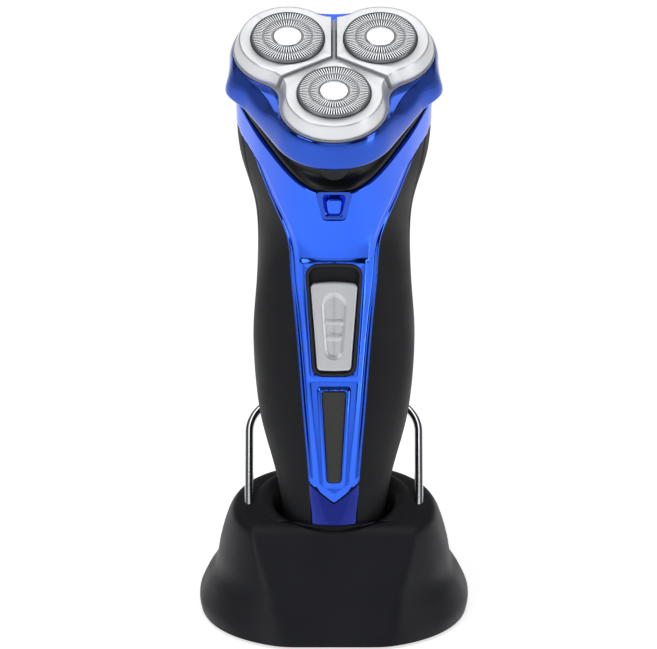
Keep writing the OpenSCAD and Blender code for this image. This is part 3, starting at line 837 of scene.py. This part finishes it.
class SHAVER_OT_shells(bpy.types.Operator):
    """Front and back shells of the handle"""
    bl_idname = "shaver.shells"
    bl_label = "Handle shells"

    def execute(self, context):
        seam = context.scene.shaver_sizes.seam / MM
        for name, front, node_name in (("grip_front", True, "front_shell"),
                                       ("grip_back", False, "back_shell")):
            outer = shell_grid(front, 0, seam)
            inner = shell_grid(front, -1.6, 0)
            if front:
                # Pocket for the release button
                for line in outer:
                    for i, p in enumerate(line):
                        if abs(p.x) < 3 and 102.4 < p.z < 108.6 and p.y < -20:
                            line[i] = p + Vector((0, 3.8, 1.9))
                for line in inner:
                    for i, p in enumerate(line):
                        if abs(p.x) < 3.6 and 101.6 < p.z < 109.4 and p.y < -18:
                            line[i] = p + Vector((0, 3.9, 1.95))
            else:
                outer = [[rib(p) for p in line] for line in outer]
            obj = skin_piece(name, [[in_handle(p) for p in line] for line in outer],
                             [[in_handle(p) for p in line] for line in inner],
                             FINISH["grip"], sharp=40)
            seat(obj, "handle", "grip_rubber", node_name)
        return {"FINISHED"}


def rib(p):
    """Sinks the grip grooves across the back of the handle."""
    if not (30 < p.z < 84 and p.y > 5):
        return p
    across = smooth((11 - abs(p.x) - 0.02 * abs(p.z - 57) ** 1.2) / 1.6)
    wave = 0.5 - 0.5 * math.cos(FULL * (p.z - 30) / 5.4)
    return p + Vector((0, -0.55 * across * wave ** 3, 0))


def panel_rise(x, edge, sw, win):
    """Height of the panel over the shell at x, whose edge is at edge, in mm."""
    d = edge - abs(x)
    h = 0.9
    flat = smooth((d - 1.4) / 2)
    flute = 0.25 + 0.42 * bump((d - 0.5) / 0.9)
    h = flat * h + (1 - flat) * flute
    h *= (smooth(d / 0.5) * 0.85 + 0.15) * (1 - 0.65 * smooth((abs(x) - 21) / 6))
    for local, w0, w1, y0, y1, wide in ((sw, 6.5, 8.75, -15.5, 18.6, 1.5),
                                        (win, 2.1, 3.8, -13.8, 14, 1.1)):
        half = w0 + (w1 - w0) * (local.y - y0) / (y1 - y0)
        dx, dy = abs(local.x) - half, max(y0 - local.y, local.y - y1)
        out = math.hypot(max(dx, 0), max(dy, 0)) if max(dx, dy) > 0 else max(dx, dy)
        h += 0.4 * bump(out / wide)
    return h


def to_flat(p, y, z, slope):
    """Handle frame to a flat's own frame."""
    turn = Matrix.Rotation(-math.radians(90 + slope), 3, "X")
    return turn @ (Vector(p) - Vector((0, y, z)))


def panel_skin(low, high, rise, rows, cols):
    """Outer and inner grids of a skin on the handle's front."""
    outer, inner = [], []
    for j in range(rows + 1):
        o_line, i_line = [], []
        for i in range(cols + 1):
            q = 2 * i / cols - 1
            q = q * 0.5 + math.sin(q * math.pi / 2) * 0.5
            t = low(q) + (high(q) - low(q)) * j / rows
            row = along(HANDLE, t)
            edge = along(PANEL, t)[0] + 9 * smooth((t - 7.32) / 0.22)
            a = (angle_at(row, edge) + 0.19 * smooth((t - 7.32) / 0.22)) * q
            p = section_point(row, a, 0)
            k = rise(p, edge, j / rows)
            o_line.append(in_handle(section_point(row, a, k)))
            i_line.append(in_handle(section_point(row, a, 0.02)))
        outer.append(o_line)
        inner.append(i_line)
    return outer, inner


CHEVRON = {}


def chevron(q):
    key = round(abs(q), 6)
    if key not in CHEVRON:
        CHEVRON[key] = t_at(16.8 + 6.2 * key)
    return CHEVRON[key]


class SHAVER_OT_panel(bpy.types.Operator):
    """Metallised front panel, with fluted edges, and the trim under it"""
    bl_idname = "shaver.panel"
    bl_label = "Front panel"

    def execute(self, context):
        def rise(p, edge, f):
            h = panel_rise(p.x, edge, to_flat(p, *SWITCH_FLAT), to_flat(p, *WINDOW_FLAT))
            return h * (0.35 + 0.65 * smooth(f / 0.012)) * (0.4 + 0.6 * smooth((1 - f) / 0.01))
        outer, inner = panel_skin(chevron, lambda q: TOP, rise, 220, 96)
        obj = skin_piece("blue_panel", outer, inner, FINISH["blue"], sharp=60)
        cut(obj,
            slab("bezel_hole", bowed(bezel_outline(-0.03), 1.6, 0.5, 0, 8), -5, 5, at_switch),
            slab("window_hole", wedge(*WINDOW, -0.03), -5, 5, at_window),
            slab("button_notch", wedge(6.8, 15, -4.6, 13, 1.4), -4, 8, at_button))
        soften(obj, 60)
        seat(obj, "handle", "panel_blue", "front_panel")
        outer, inner = panel_skin(
            lambda q: t_at(2.4), lambda q: chevron(q) - 0.025,
            lambda p, edge, f: 0.6 * smooth((edge - abs(p.x)) / 0.7) + 0.05, 40, 40)
        trim = skin_piece("foot_trim", outer, inner, FINISH["trim"], sharp=40)
        seat(trim, "handle", "trim_blue", "lower_trim")
        return {"FINISHED"}


def crowned(place, k):
    """A flat's frame whose surface falls away to the sides by k times x squared."""
    return lambda p: place((p[0], p[1], p[2] - k * p[0] * p[0]))


class SHAVER_OT_switch(bpy.types.Operator):
    """Switch bezel and the sliding switch in it"""
    bl_idname = "shaver.switch"
    bl_label = "Switch"

    def execute(self, context):
        place = crowned(at_switch, 0.0085)

        rim = fine(lambda inset: bowed(bezel_outline(inset), 1.6, 0.5, 0, 8))
        profile = [(0, -2.2), (0, 0.75), (0.12, 1.02), (0.4, 1.18), (0.75, 1.2), (1.0, 1.05),
                   (1.15, 0.7), (1.2, -0.3)]
        loops = stacked(rim, profile, place)
        loops += spine_rings(rim(1.25), 9, 8, lambda x, y: place((x, y, -0.4)))
        obj = loops_piece("switch_surround", loops, FINISH["bezel"], sharp=45)
        seat(obj, "handle", "bezel_grey", "switch_bezel")

        edge = fine(lambda inset: bowed(fine_wedge(inset), -0.4, 0.6, 0.35, 6.5), 0.3)
        rings = stacked(edge, ((0.25, -0.3), (0, 0), (0, 1.4), (0.1, 1.8), (0.35, 2.1)), place)
        rings += spine_rings(edge(0.6), 10, 40, lambda x, y: place((x, y, slider_height(x, y))))
        slider = loops_piece("sliding_switch", rings, FINISH["slider"], sharp=45)
        seat(slider, "switch", "slider_silver", "switch_slider")
        return {"FINISHED"}


def bezel_outline(inset):
    return fine(lambda k: wedge(13, 17.5, -15.5, 18.1, 3.4, k), 1)(inset)


def fine_wedge(inset):
    return fine(lambda k: wedge(10.1, 14.1, -13.4, 12.4, 1.2, k), 1)(inset)


def spine_rings(edge, reach, steps, place):
    """Loops that shrink from an outline onto the line x = 0 between y = reach and -reach."""
    rings = []
    for j in range(steps + 1):
        k = max(1 - j / steps, 0.003)
        rings.append([place(p.x * k, max(-reach, min(reach, p.y)) * (1 - k) + p.y * k)
                      for p in edge])
    return rings


def slider_height(x, y):
    """Top of the sliding switch: an oval thumb recess with two bars across it."""
    half = 3.7 + 0.068 * y
    reach = max(y - 5.4, -7.2 - y, 0)
    d = half - math.hypot(x, reach * (0.95 if y > 0 else 0.88))
    z = 2.15 - 0.8 * smooth(d / 1.5) + 0.15 * max(0, 1 - (1 - d / half) ** 2)
    for y0, w in ((0.9, 2.75), (-3.6, 2.3)):
        r = math.hypot(max(abs(x) - w + 0.8, 0), y - y0)
        z += 0.5 * smooth((1.0 - r) / 0.5)
    return min(z, 2.2)


class SHAVER_OT_window(bpy.types.Operator):
    """Smoked indicator window"""
    bl_idname = "shaver.window"
    bl_label = "Indicator window"

    def execute(self, context):
        place = crowned(at_window, 0.012)
        edge = fine(lambda inset: wedge(*WINDOW, inset), 1)
        loops = stacked(edge, ((0, -1.4), (0, 0.7), (0.1, 0.92), (0.3, 1.04), (0.55, 1.08)),
                        place)
        loops += spine_rings(edge(0.6), 11, 6, lambda x, y: place((x, y, 1.08)))
        obj = loops_piece("smoked_window", loops, FINISH["window"], sharp=40)
        seat(obj, "handle", "window_smoke", "indicator_window")
        return {"FINISHED"}


class SHAVER_OT_button(bpy.types.Operator):
    """Release button in its notch"""
    bl_idname = "shaver.button"
    bl_label = "Release button"

    def execute(self, context):
        loops = stacked(lambda inset: wedge(*BUTTON, inset),
                        ((0, -2.4), (0, 0.55), (0.12, 0.8), (0.4, 0.97)), at_button)
        loops += [[at_button((p.x * k, 0.1 + (p.y - 0.1) * k, 1.0 - 0.25 * (1 - k)))
                   for p in wedge(*BUTTON, 0.6)] for k in (1, 0.7, 0.35)]
        obj = loops_piece("head_button", loops, FINISH["blue"], sharp=40)
        seat(obj, "button", "panel_blue", "release_button")
        # The tray takes the darkened blue of the head ring: painted shade so the notch round the
        # button reads as a recess
        tray = slab("button_tray", wedge(6.7, 11.4, -4.5, 4.7, 1.2), -0.5, 0.15, at_button,
                    FINISH["ring"])
        cut(tray, slab("room", wedge(4.1, 5.3, -2.7, 2.9, 1), -5, 5, at_button))
        seat(tray, "handle", "panel_blue")
        return {"FINISHED"}


def head_loop(outline, w, n):
    """Loop round the head at height w, with n points at even angles."""
    return [in_head((p.x, p.y, w)) for p in polar(outline, n)]


def flank_loop(r, w, n):
    """Loop round the ring's flank: waisted between the lobes near the top, with its rear
    sides drawn in and a wing on each side of its lower edge."""
    waist = 0.3 * smooth((w + 9.5) / 5)
    flare = smooth((-4.6 - w) / 8)
    loop = []
    for p, q in zip(polar(lobed(r, None), n), polar(lobed(r, 8), n)):
        p = p.lerp(q, waist)
        wing = 1.7 * flare * bump((p.y + 3.5) / 6.5)
        tuck = (1 + 1.1 * flare) * smooth((p.y + 1) / 8)
        out = (wing - tuck) * smooth((abs(p.x) - 8) / 12)
        loop.append(in_head((p.x + (out if p.x > 0 else -out), p.y, w)))
    return loop


class SHAVER_OT_neck(bpy.types.Operator):
    """Black neck between the handle and the head"""
    bl_idname = "shaver.neck"
    bl_label = "Neck"

    def execute(self, context):
        n = 240
        row = HANDLE[TOP]
        egg = [handle_to_head(section_point(row, FULL * i / 360, -0.3)) for i in range(360)]
        base = polar(egg, n)
        wall = polar(lobed(15, None), n)
        loops = [[in_head((p.x, p.y, -22)) for p in base]]
        for f, w in ((0.0, -21.5), (0.03, -21.1), (0.12, -20.7), (0.3, -20.3), (0.6, -19.9),
                     (0.85, -19.3), (0.97, -18.3), (1, -17)):
            loops.append([in_head((*base[i].lerp(wall[i], f), w)) for i in range(n)])
        for w, r in ((-12.1, 15), (-11.7, 14.8), (-11.6, 14.5), (-11.6, 13.9), (-11.8, 13.6),
                     (-14, 13.45), (-22, 13.4)):
            loops.append(head_loop(lobed(r, None), w, n))
        obj = loops_piece("neck_band", loops, FINISH["neck"], close=True, sharp=35)
        parts = [obj]
        for s in (-1, 1):
            arm = slab("arm", [(s * 8 - 2.2, 22.5), (s * 8 + 2.2, 22.5), (s * 8 + 2.2, 28.6),
                               (s * 8 - 2.2, 28.6)], -16.2, -13.6, in_head, FINISH["neck"])
            parts += [bevel(arm, 0.3), knuckle("knuckle", s * 8 - 2.2, 4.4, FINISH["neck"])]
        obj = join("neck_collar_body", parts)
        seat(obj, "handle", "neck_black", "neck_collar")
        return {"FINISHED"}


def at_hinge(p):
    """Frame of the head's hinge to world, with its axis along Z."""
    return in_head((p[2], HINGE_V + p[0], HINGE_W + p[1]))


def knuckle(name, x, length, finish):
    """Barrel of the head's hinge, along X from x."""
    profile = [(1.03, x), (1.9, x), (2.2, x + 0.3), (2.2, x + length - 0.3),
               (1.9, x + length), (1.03, x + length)]
    return spun(name, profile, at_hinge, finish, n=48, close=True)


class SHAVER_OT_head(bpy.types.Operator):
    """Blue ring of the head, with its hinge barrel"""
    bl_idname = "shaver.head"
    bl_label = "Head ring"

    def execute(self, context):
        n = 288
        loops = []
        for r, f, w in ((16.3, 7.6, -6.2), (16.4, 7.6, -6.5), (16.6, None, -9.5),
                        (16.6, None, -12.9)):
            loops.append(head_loop(lobed(r, f), w, n))
        loops += [flank_loop(r, w, n) for r, w in RING]
        outer = [Vector(p) for p in loops[-1]]
        lip = [Vector(p) for p in head_loop(lobed(*RING_RIM), -4.75, n)]
        sink = in_head((0, 0, 0)) - in_head((0, 0, 1))
        for k, dip in ((0.3, 0.05), (0.6, 0.12), (0.85, 0.12), (1, 0.35)):
            loops.append([outer[i].lerp(lip[i], k) + sink * dip for i in range(n)])
        loops.append(head_loop(lobed(*RING_RIM), -6.2, n))
        # Ring, web and knuckle take the darkened blue finish, which carries painted shade
        ring = loops_piece("ring", loops, FINISH["ring"], close=True, sharp=35)
        web = slab("web", [(-5, 26.4), (5, 26.4), (5, 28.8), (-5, 28.8)], -13.6, -9, in_head,
                   FINISH["ring"])
        obj = join("blue_head_ring", [ring, bevel(web, 0.3),
                                      knuckle("knuckle", -5, 10, FINISH["ring"])])
        for s in (-1, 1):
            cut(obj, spun("room", [(2.6, s * 8 - 2.6), (2.6, s * 8 + 2.6)], at_hinge, None,
                          n=48))
        soften(obj, 35)
        seat(obj, "head", "panel_blue", "head_ring")
        return {"FINISHED"}


class SHAVER_OT_lobes(bpy.types.Operator):
    """Three silver plates of the face, parted by a Y of grooves"""
    bl_idname = "shaver.lobes"
    bl_label = "Face plates"

    def execute(self, context):
        def ring(r, fillet, w, k=1):
            return [in_head((p.x * k, p.y * k, w)) for p in lobed(r, fillet, 60, 30)]
        loops = [ring(*row) for row in PLATES] + [ring(*PLATES[-1], k=0.999)]
        obj = loops_piece("plates", loops, FINISH["silver"], sharp=30)
        cutters = []
        for a in CUTTER_ANGLES:
            m = a + math.pi / 3
            c, s = math.cos(m), math.sin(m)

            def groove(x, y):
                return (c * x - s * y, s * x + c * y)
            cutters.append(slab("groove", [groove(-0.4, -0.9), groove(40, -0.9),
                                           groove(40, 0.9), groove(-0.4, 0.9)], -9, 5, in_head))
            centre = unit(a).to_3d() * CUTTER_PCR
            cutters.append(spun("hole", [(11.25, 5), (11.25, -2.7), (12.3, -2.7), (12.3, -9)],
                                lambda p, c=centre: in_head(Vector(p) + c), None, n=128))
        cut(obj, *cutters)
        bevel(obj, 0.22, angle=48)
        soften(obj, 30)
        seat(obj, "head", "lobe_silver", "lobe_plates")
        return {"FINISHED"}


def track_bars(count, radius, length, width, height, finish, centre, lift):
    """Ring of radial bars, made with Geometry Nodes and returned as a plain mesh object."""
    tree = bpy.data.node_groups.new("Radial bars", "GeometryNodeTree")
    tree.is_modifier = True
    face = tree.interface
    face.new_socket("Geometry", in_out="OUTPUT", socket_type="NodeSocketGeometry")
    sockets = {}
    for name, kind in (("Count", "NodeSocketInt"), ("Radius", "NodeSocketFloat"),
                       ("Length", "NodeSocketFloat"), ("Width", "NodeSocketFloat"),
                       ("Height", "NodeSocketFloat"), ("Finish", "NodeSocketMaterial")):
        sockets[name] = face.new_socket(name, in_out="INPUT", socket_type=kind).identifier
    start = tree.nodes.new("NodeGroupInput").outputs
    size = node(tree, "ShaderNodeCombineXYZ",
                {"X": start["Length"], "Y": start["Width"], "Z": start["Height"]})
    bar = node(tree, "GeometryNodeMeshCube", {"Size": size.outputs[0]})
    circle = node(tree, "GeometryNodeMeshCircle",
                  {"Vertices": start["Count"], "Radius": start["Radius"]})
    where = node(tree, "GeometryNodeInputPosition")
    aim = node(tree, "FunctionNodeAlignRotationToVector", {"Vector": where.outputs[0]}, axis="X")
    spread = node(tree, "GeometryNodeInstanceOnPoints",
                  {"Points": circle.outputs[0], "Instance": bar.outputs[0],
                   "Rotation": aim.outputs[0]})
    real = node(tree, "GeometryNodeRealizeInstances", {"Geometry": spread.outputs[0]})
    paint = node(tree, "GeometryNodeSetMaterial",
                 {"Geometry": real.outputs[0], "Material": start["Finish"]})
    end = tree.nodes.new("NodeGroupOutput")
    tree.links.new(paint.outputs[0], end.inputs[0])
    mesh = bpy.data.meshes.new("bars")
    obj = bpy.data.objects.new("bars", mesh)
    bpy.context.scene.collection.objects.link(obj)
    mod = obj.modifiers.new("bars", "NODES")
    mod.node_group = tree
    for name, value in (("Count", count), ("Radius", radius * MM), ("Length", length * MM),
                        ("Width", width), ("Height", height * MM), ("Finish", finish)):
        mod[sockets[name]] = value
    apply_modifiers(obj)
    for v in obj.data.vertices:
        v.co = in_head(v.co / MM + centre + Vector((0, 0, lift)))
    return obj


class SHAVER_OT_guards(bpy.types.Operator):
    """Three floating cutter guards with their slotted tracks and centre caps"""
    bl_idname = "shaver.guards"
    bl_label = "Cutter guards"

    def execute(self, context):
        sizes = context.scene.shaver_sizes
        for i, a in enumerate(CUTTER_ANGLES):
            n = i + 1
            centre = unit(a).to_3d() * CUTTER_PCR
            middle = in_head(centre)

            def place(p, c=centre):
                return in_head(Vector(p) + c)
            steel = turned_steel(f"ground_stainless_{n}", linear("#dcdde0"), middle)
            dark = turned_steel(f"worn_stainless_{n}", linear("#8d8f94"), middle, 0.34)
            cap = turned_steel(f"spun_aluminium_{n}", linear("#f2f3f5"), middle, 0.3)
            rings = [
                # Outer wall and rim, rib between the tracks, and seat of the cap
                spun("rim", [(12, -3.5), (12, -2.9), (11, -2.8), (11, 0.55), (10.92, 0.82),
                             (10.7, 0.97), (10.45, 1.0), (10.3, 0.9), (10.22, 0.6),
                             (10.2, -2.9), (10.4, -3.5)], place, dark, close=True, sharp=40),
                spun("rib", [(7.74, 0.2), (7.74, 0.82), (7.6, 0.95), (7.15, 0.95),
                             (7.02, 0.82), (7.02, 0.2)], place, dark, close=True, sharp=40),
                spun("hub", [(4.9, 0.2), (4.9, 0.85), (4.75, 0.98), (3.0, 0.98), (3.0, 0.2)],
                     place, dark, close=True, sharp=40),
                track_bars(sizes.outer_bars, 8.98, 2.6, sizes.bar_width, 0.5, steel, centre,
                           0.7),
                track_bars(sizes.inner_bars, 5.95, 2.2, sizes.bar_width, 0.5, steel, centre,
                           0.7),
            ]
            obj = join(f"guard_{n}_foil", rings)
            seat(obj, f"float_{n}", "guard_steel", f"guard_{n}")
            disc = spun(f"centre_cap_{n}", [(0.02, 1.32), (2.4, 1.31), (3.9, 1.28), (4.3, 1.2),
                                            (4.45, 1.08), (4.45, 1.0), (0.02, 1.0)],
                        place, cap, sharp=40)
            seat(disc, f"float_{n}", "cap_silver", f"guard_cap_{n}")
            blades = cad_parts[f"cutter_{n}"].data.materials
            blades.clear()
            blades.append(turned_steel(f"hardened_blade_steel_{n}", linear("#17181b"),
                                       middle, 0.35))
        return {"FINISHED"}


class SHAVER_OT_stage(bpy.types.Operator):
    """Pale floor, soft studio lights and the camera"""
    bl_idname = "shaver.stage"
    bl_label = "Stage"

    def execute(self, context):
        scene = context.scene
        scene.view_settings.view_transform = "Standard"
        floor = piece("floor", [(-3, -3, 0), (3, -3, 0), (3, 3, 0), (-3, 3, 0)], [(0, 1, 2, 3)])
        mat, tree, shader = surface("lit_white_table", linear("#f4f4f4"), Roughness=0.7,
                                    Emission_Color=(1, 1, 1, 1), Emission_Strength=0.68)
        grain(tree, shader, 4, 0.05, strength=0.05)
        floor.data.materials.append(mat)
        studio_world(scene)
        # Softboxes: key from the upper left, fill from the right, one over the head
        aim = Vector((0, 0.01, 0.09))
        for name, spot, width, height, watts in (
                ("key", (-0.55, -0.5, 0.6), 0.4, 0.6, 1.8),
                ("fill", (0.7, -0.35, 0.35), 0.2, 0.7, 1.1),
                ("top", (0, 0.15, 0.9), 0.6, 0.6, 1.6)):
            data = bpy.data.lights.new(name, "AREA")
            data.shape = "RECTANGLE"
            data.size, data.size_y = width, height
            data.energy = watts
            lamp = bpy.data.objects.new(name, data)
            scene.collection.objects.link(lamp)
            lamp.location = spot
            lamp.rotation_euler = (aim - Vector(spot)).to_track_quat("-Z", "Y").to_euler()
        add_camera(scene)
        return {"FINISHED"}


def studio_world(scene):
    """White studio with a bright wall behind the camera, dark gaps beside it and bright
    walls at the sides, so that gloss has something to mirror."""
    world = bpy.data.worlds.new("studio")
    world.use_nodes = True
    tree = world.node_tree
    coord = node(tree, "ShaderNodeTexCoord")
    axes = node(tree, "ShaderNodeSeparateXYZ", {"Vector": coord.outputs["Generated"]})
    side = maths(tree, "ABSOLUTE", axes.outputs["X"])
    front = maths(tree, "MULTIPLY", axes.outputs["Y"], -1)
    share = maths(tree, "DIVIDE", maths(tree, "ARCTAN2", side, front), math.pi)
    # Brightness round the studio, from behind the camera (0) to behind the shaver (1)
    walls = ramp(tree, share, ((0, 0.95), (0.1, 0.85), (0.15, 0.02), (0.4, 0.02),
                               (0.46, 0.4), (0.55, 0.4), (0.65, 0.12), (1, 0.3)))
    # How far the walls show at each height, and the light of the horizon and the ceiling
    reach = ramp(tree, axes.outputs["Z"], ((0, 0), (0.03, 0), (0.08, 1), (0.34, 1),
                                           (0.46, 0.15), (0.7, 0.1), (0.8, 0)))
    rest = ramp(tree, axes.outputs["Z"], ((0, 0.6), (0.03, 0.6), (0.08, 0), (0.78, 0.03),
                                          (0.9, 0.42), (1, 0.42)))
    light = maths(tree, "MULTIPLY_ADD", walls, reach, rest)
    back = tree.nodes["Background"]
    tree.links.new(light, back.inputs["Color"])
    scene.world = world


def ramp(tree, source, stops):
    """Output of a colour ramp of greys."""
    new = node(tree, "ShaderNodeValToRGB", {"Fac": source})
    marks = new.color_ramp.elements
    while len(marks) < len(stops):
        marks.new(0.5)
    for mark, (at, grey) in zip(marks, stops):
        mark.position = at
        mark.color = (grey, grey, grey, 1)
    return new.outputs["Color"]


def maths(tree, operation, *values):
    """Output of a Math node whose inputs are sockets or numbers."""
    new = node(tree, "ShaderNodeMath", operation=operation)
    for socket, value in zip(new.inputs, values):
        if isinstance(value, bpy.types.NodeSocket):
            tree.links.new(value, socket)
        else:
            socket.default_value = value
    return new.outputs[0]


def add_camera(scene):
    """Camera that looks down at the front of the shaver by 20 degrees."""
    far = scene.shaver_sizes.camera_distance
    down = math.radians(20)
    view_width = 0.1971
    aim = Vector((-0.00165, 0.0135, 0.08375))
    data = bpy.data.cameras.new("camera")
    data.sensor_width = 36
    data.lens = 36 * far / view_width
    data.clip_start = 0.01
    cam = bpy.data.objects.new("camera", data)
    scene.collection.objects.link(cam)
    cam.location = aim - Vector((0, math.cos(down), -math.sin(down))) * far
    cam.rotation_euler = (math.radians(90) - down, 0, 0)
    scene.camera = cam


OPERATORS = (
    SHAVER_OT_finishes, SHAVER_OT_stage, SHAVER_OT_inner_works, SHAVER_OT_stand,
    SHAVER_OT_bail, SHAVER_OT_shells, SHAVER_OT_panel, SHAVER_OT_switch, SHAVER_OT_window,
    SHAVER_OT_button, SHAVER_OT_neck, SHAVER_OT_head, SHAVER_OT_lobes, SHAVER_OT_guards,
)


class SHAVER_PT_panel(bpy.types.Panel):
    """Lists the shaver's settings and the steps that build it"""
    bl_idname = "SHAVER_PT_panel"
    bl_label = "Rotary shaver"
    bl_space_type = "VIEW_3D"
    bl_region_type = "UI"
    bl_category = "Shaver"

    def draw(self, context):
        layout = self.layout
        for group in (context.scene.shaver_colours, context.scene.shaver_sizes):
            for name in group.bl_rna.properties.keys():
                if name not in ("rna_type", "name"):
                    layout.prop(group, name)
        for op in OPERATORS:
            layout.operator(op.bl_idname)


CLASSES = (ShaverColours, ShaverSizes) + OPERATORS + (SHAVER_PT_panel,)


def register():
    for cls in CLASSES:
        bpy.utils.register_class(cls)
    bpy.types.Scene.shaver_colours = bpy.props.PointerProperty(type=ShaverColours)
    bpy.types.Scene.shaver_sizes = bpy.props.PointerProperty(type=ShaverSizes)


def unregister():
    del bpy.types.Scene.shaver_sizes
    del bpy.types.Scene.shaver_colours
    for cls in reversed(CLASSES):
        bpy.utils.unregister_class(cls)


def main():
    register()
    for op in OPERATORS:
        group, name = op.bl_idname.split(".")
        getattr(getattr(bpy.ops, group), name)()


if __name__ == "__main__":
    main()
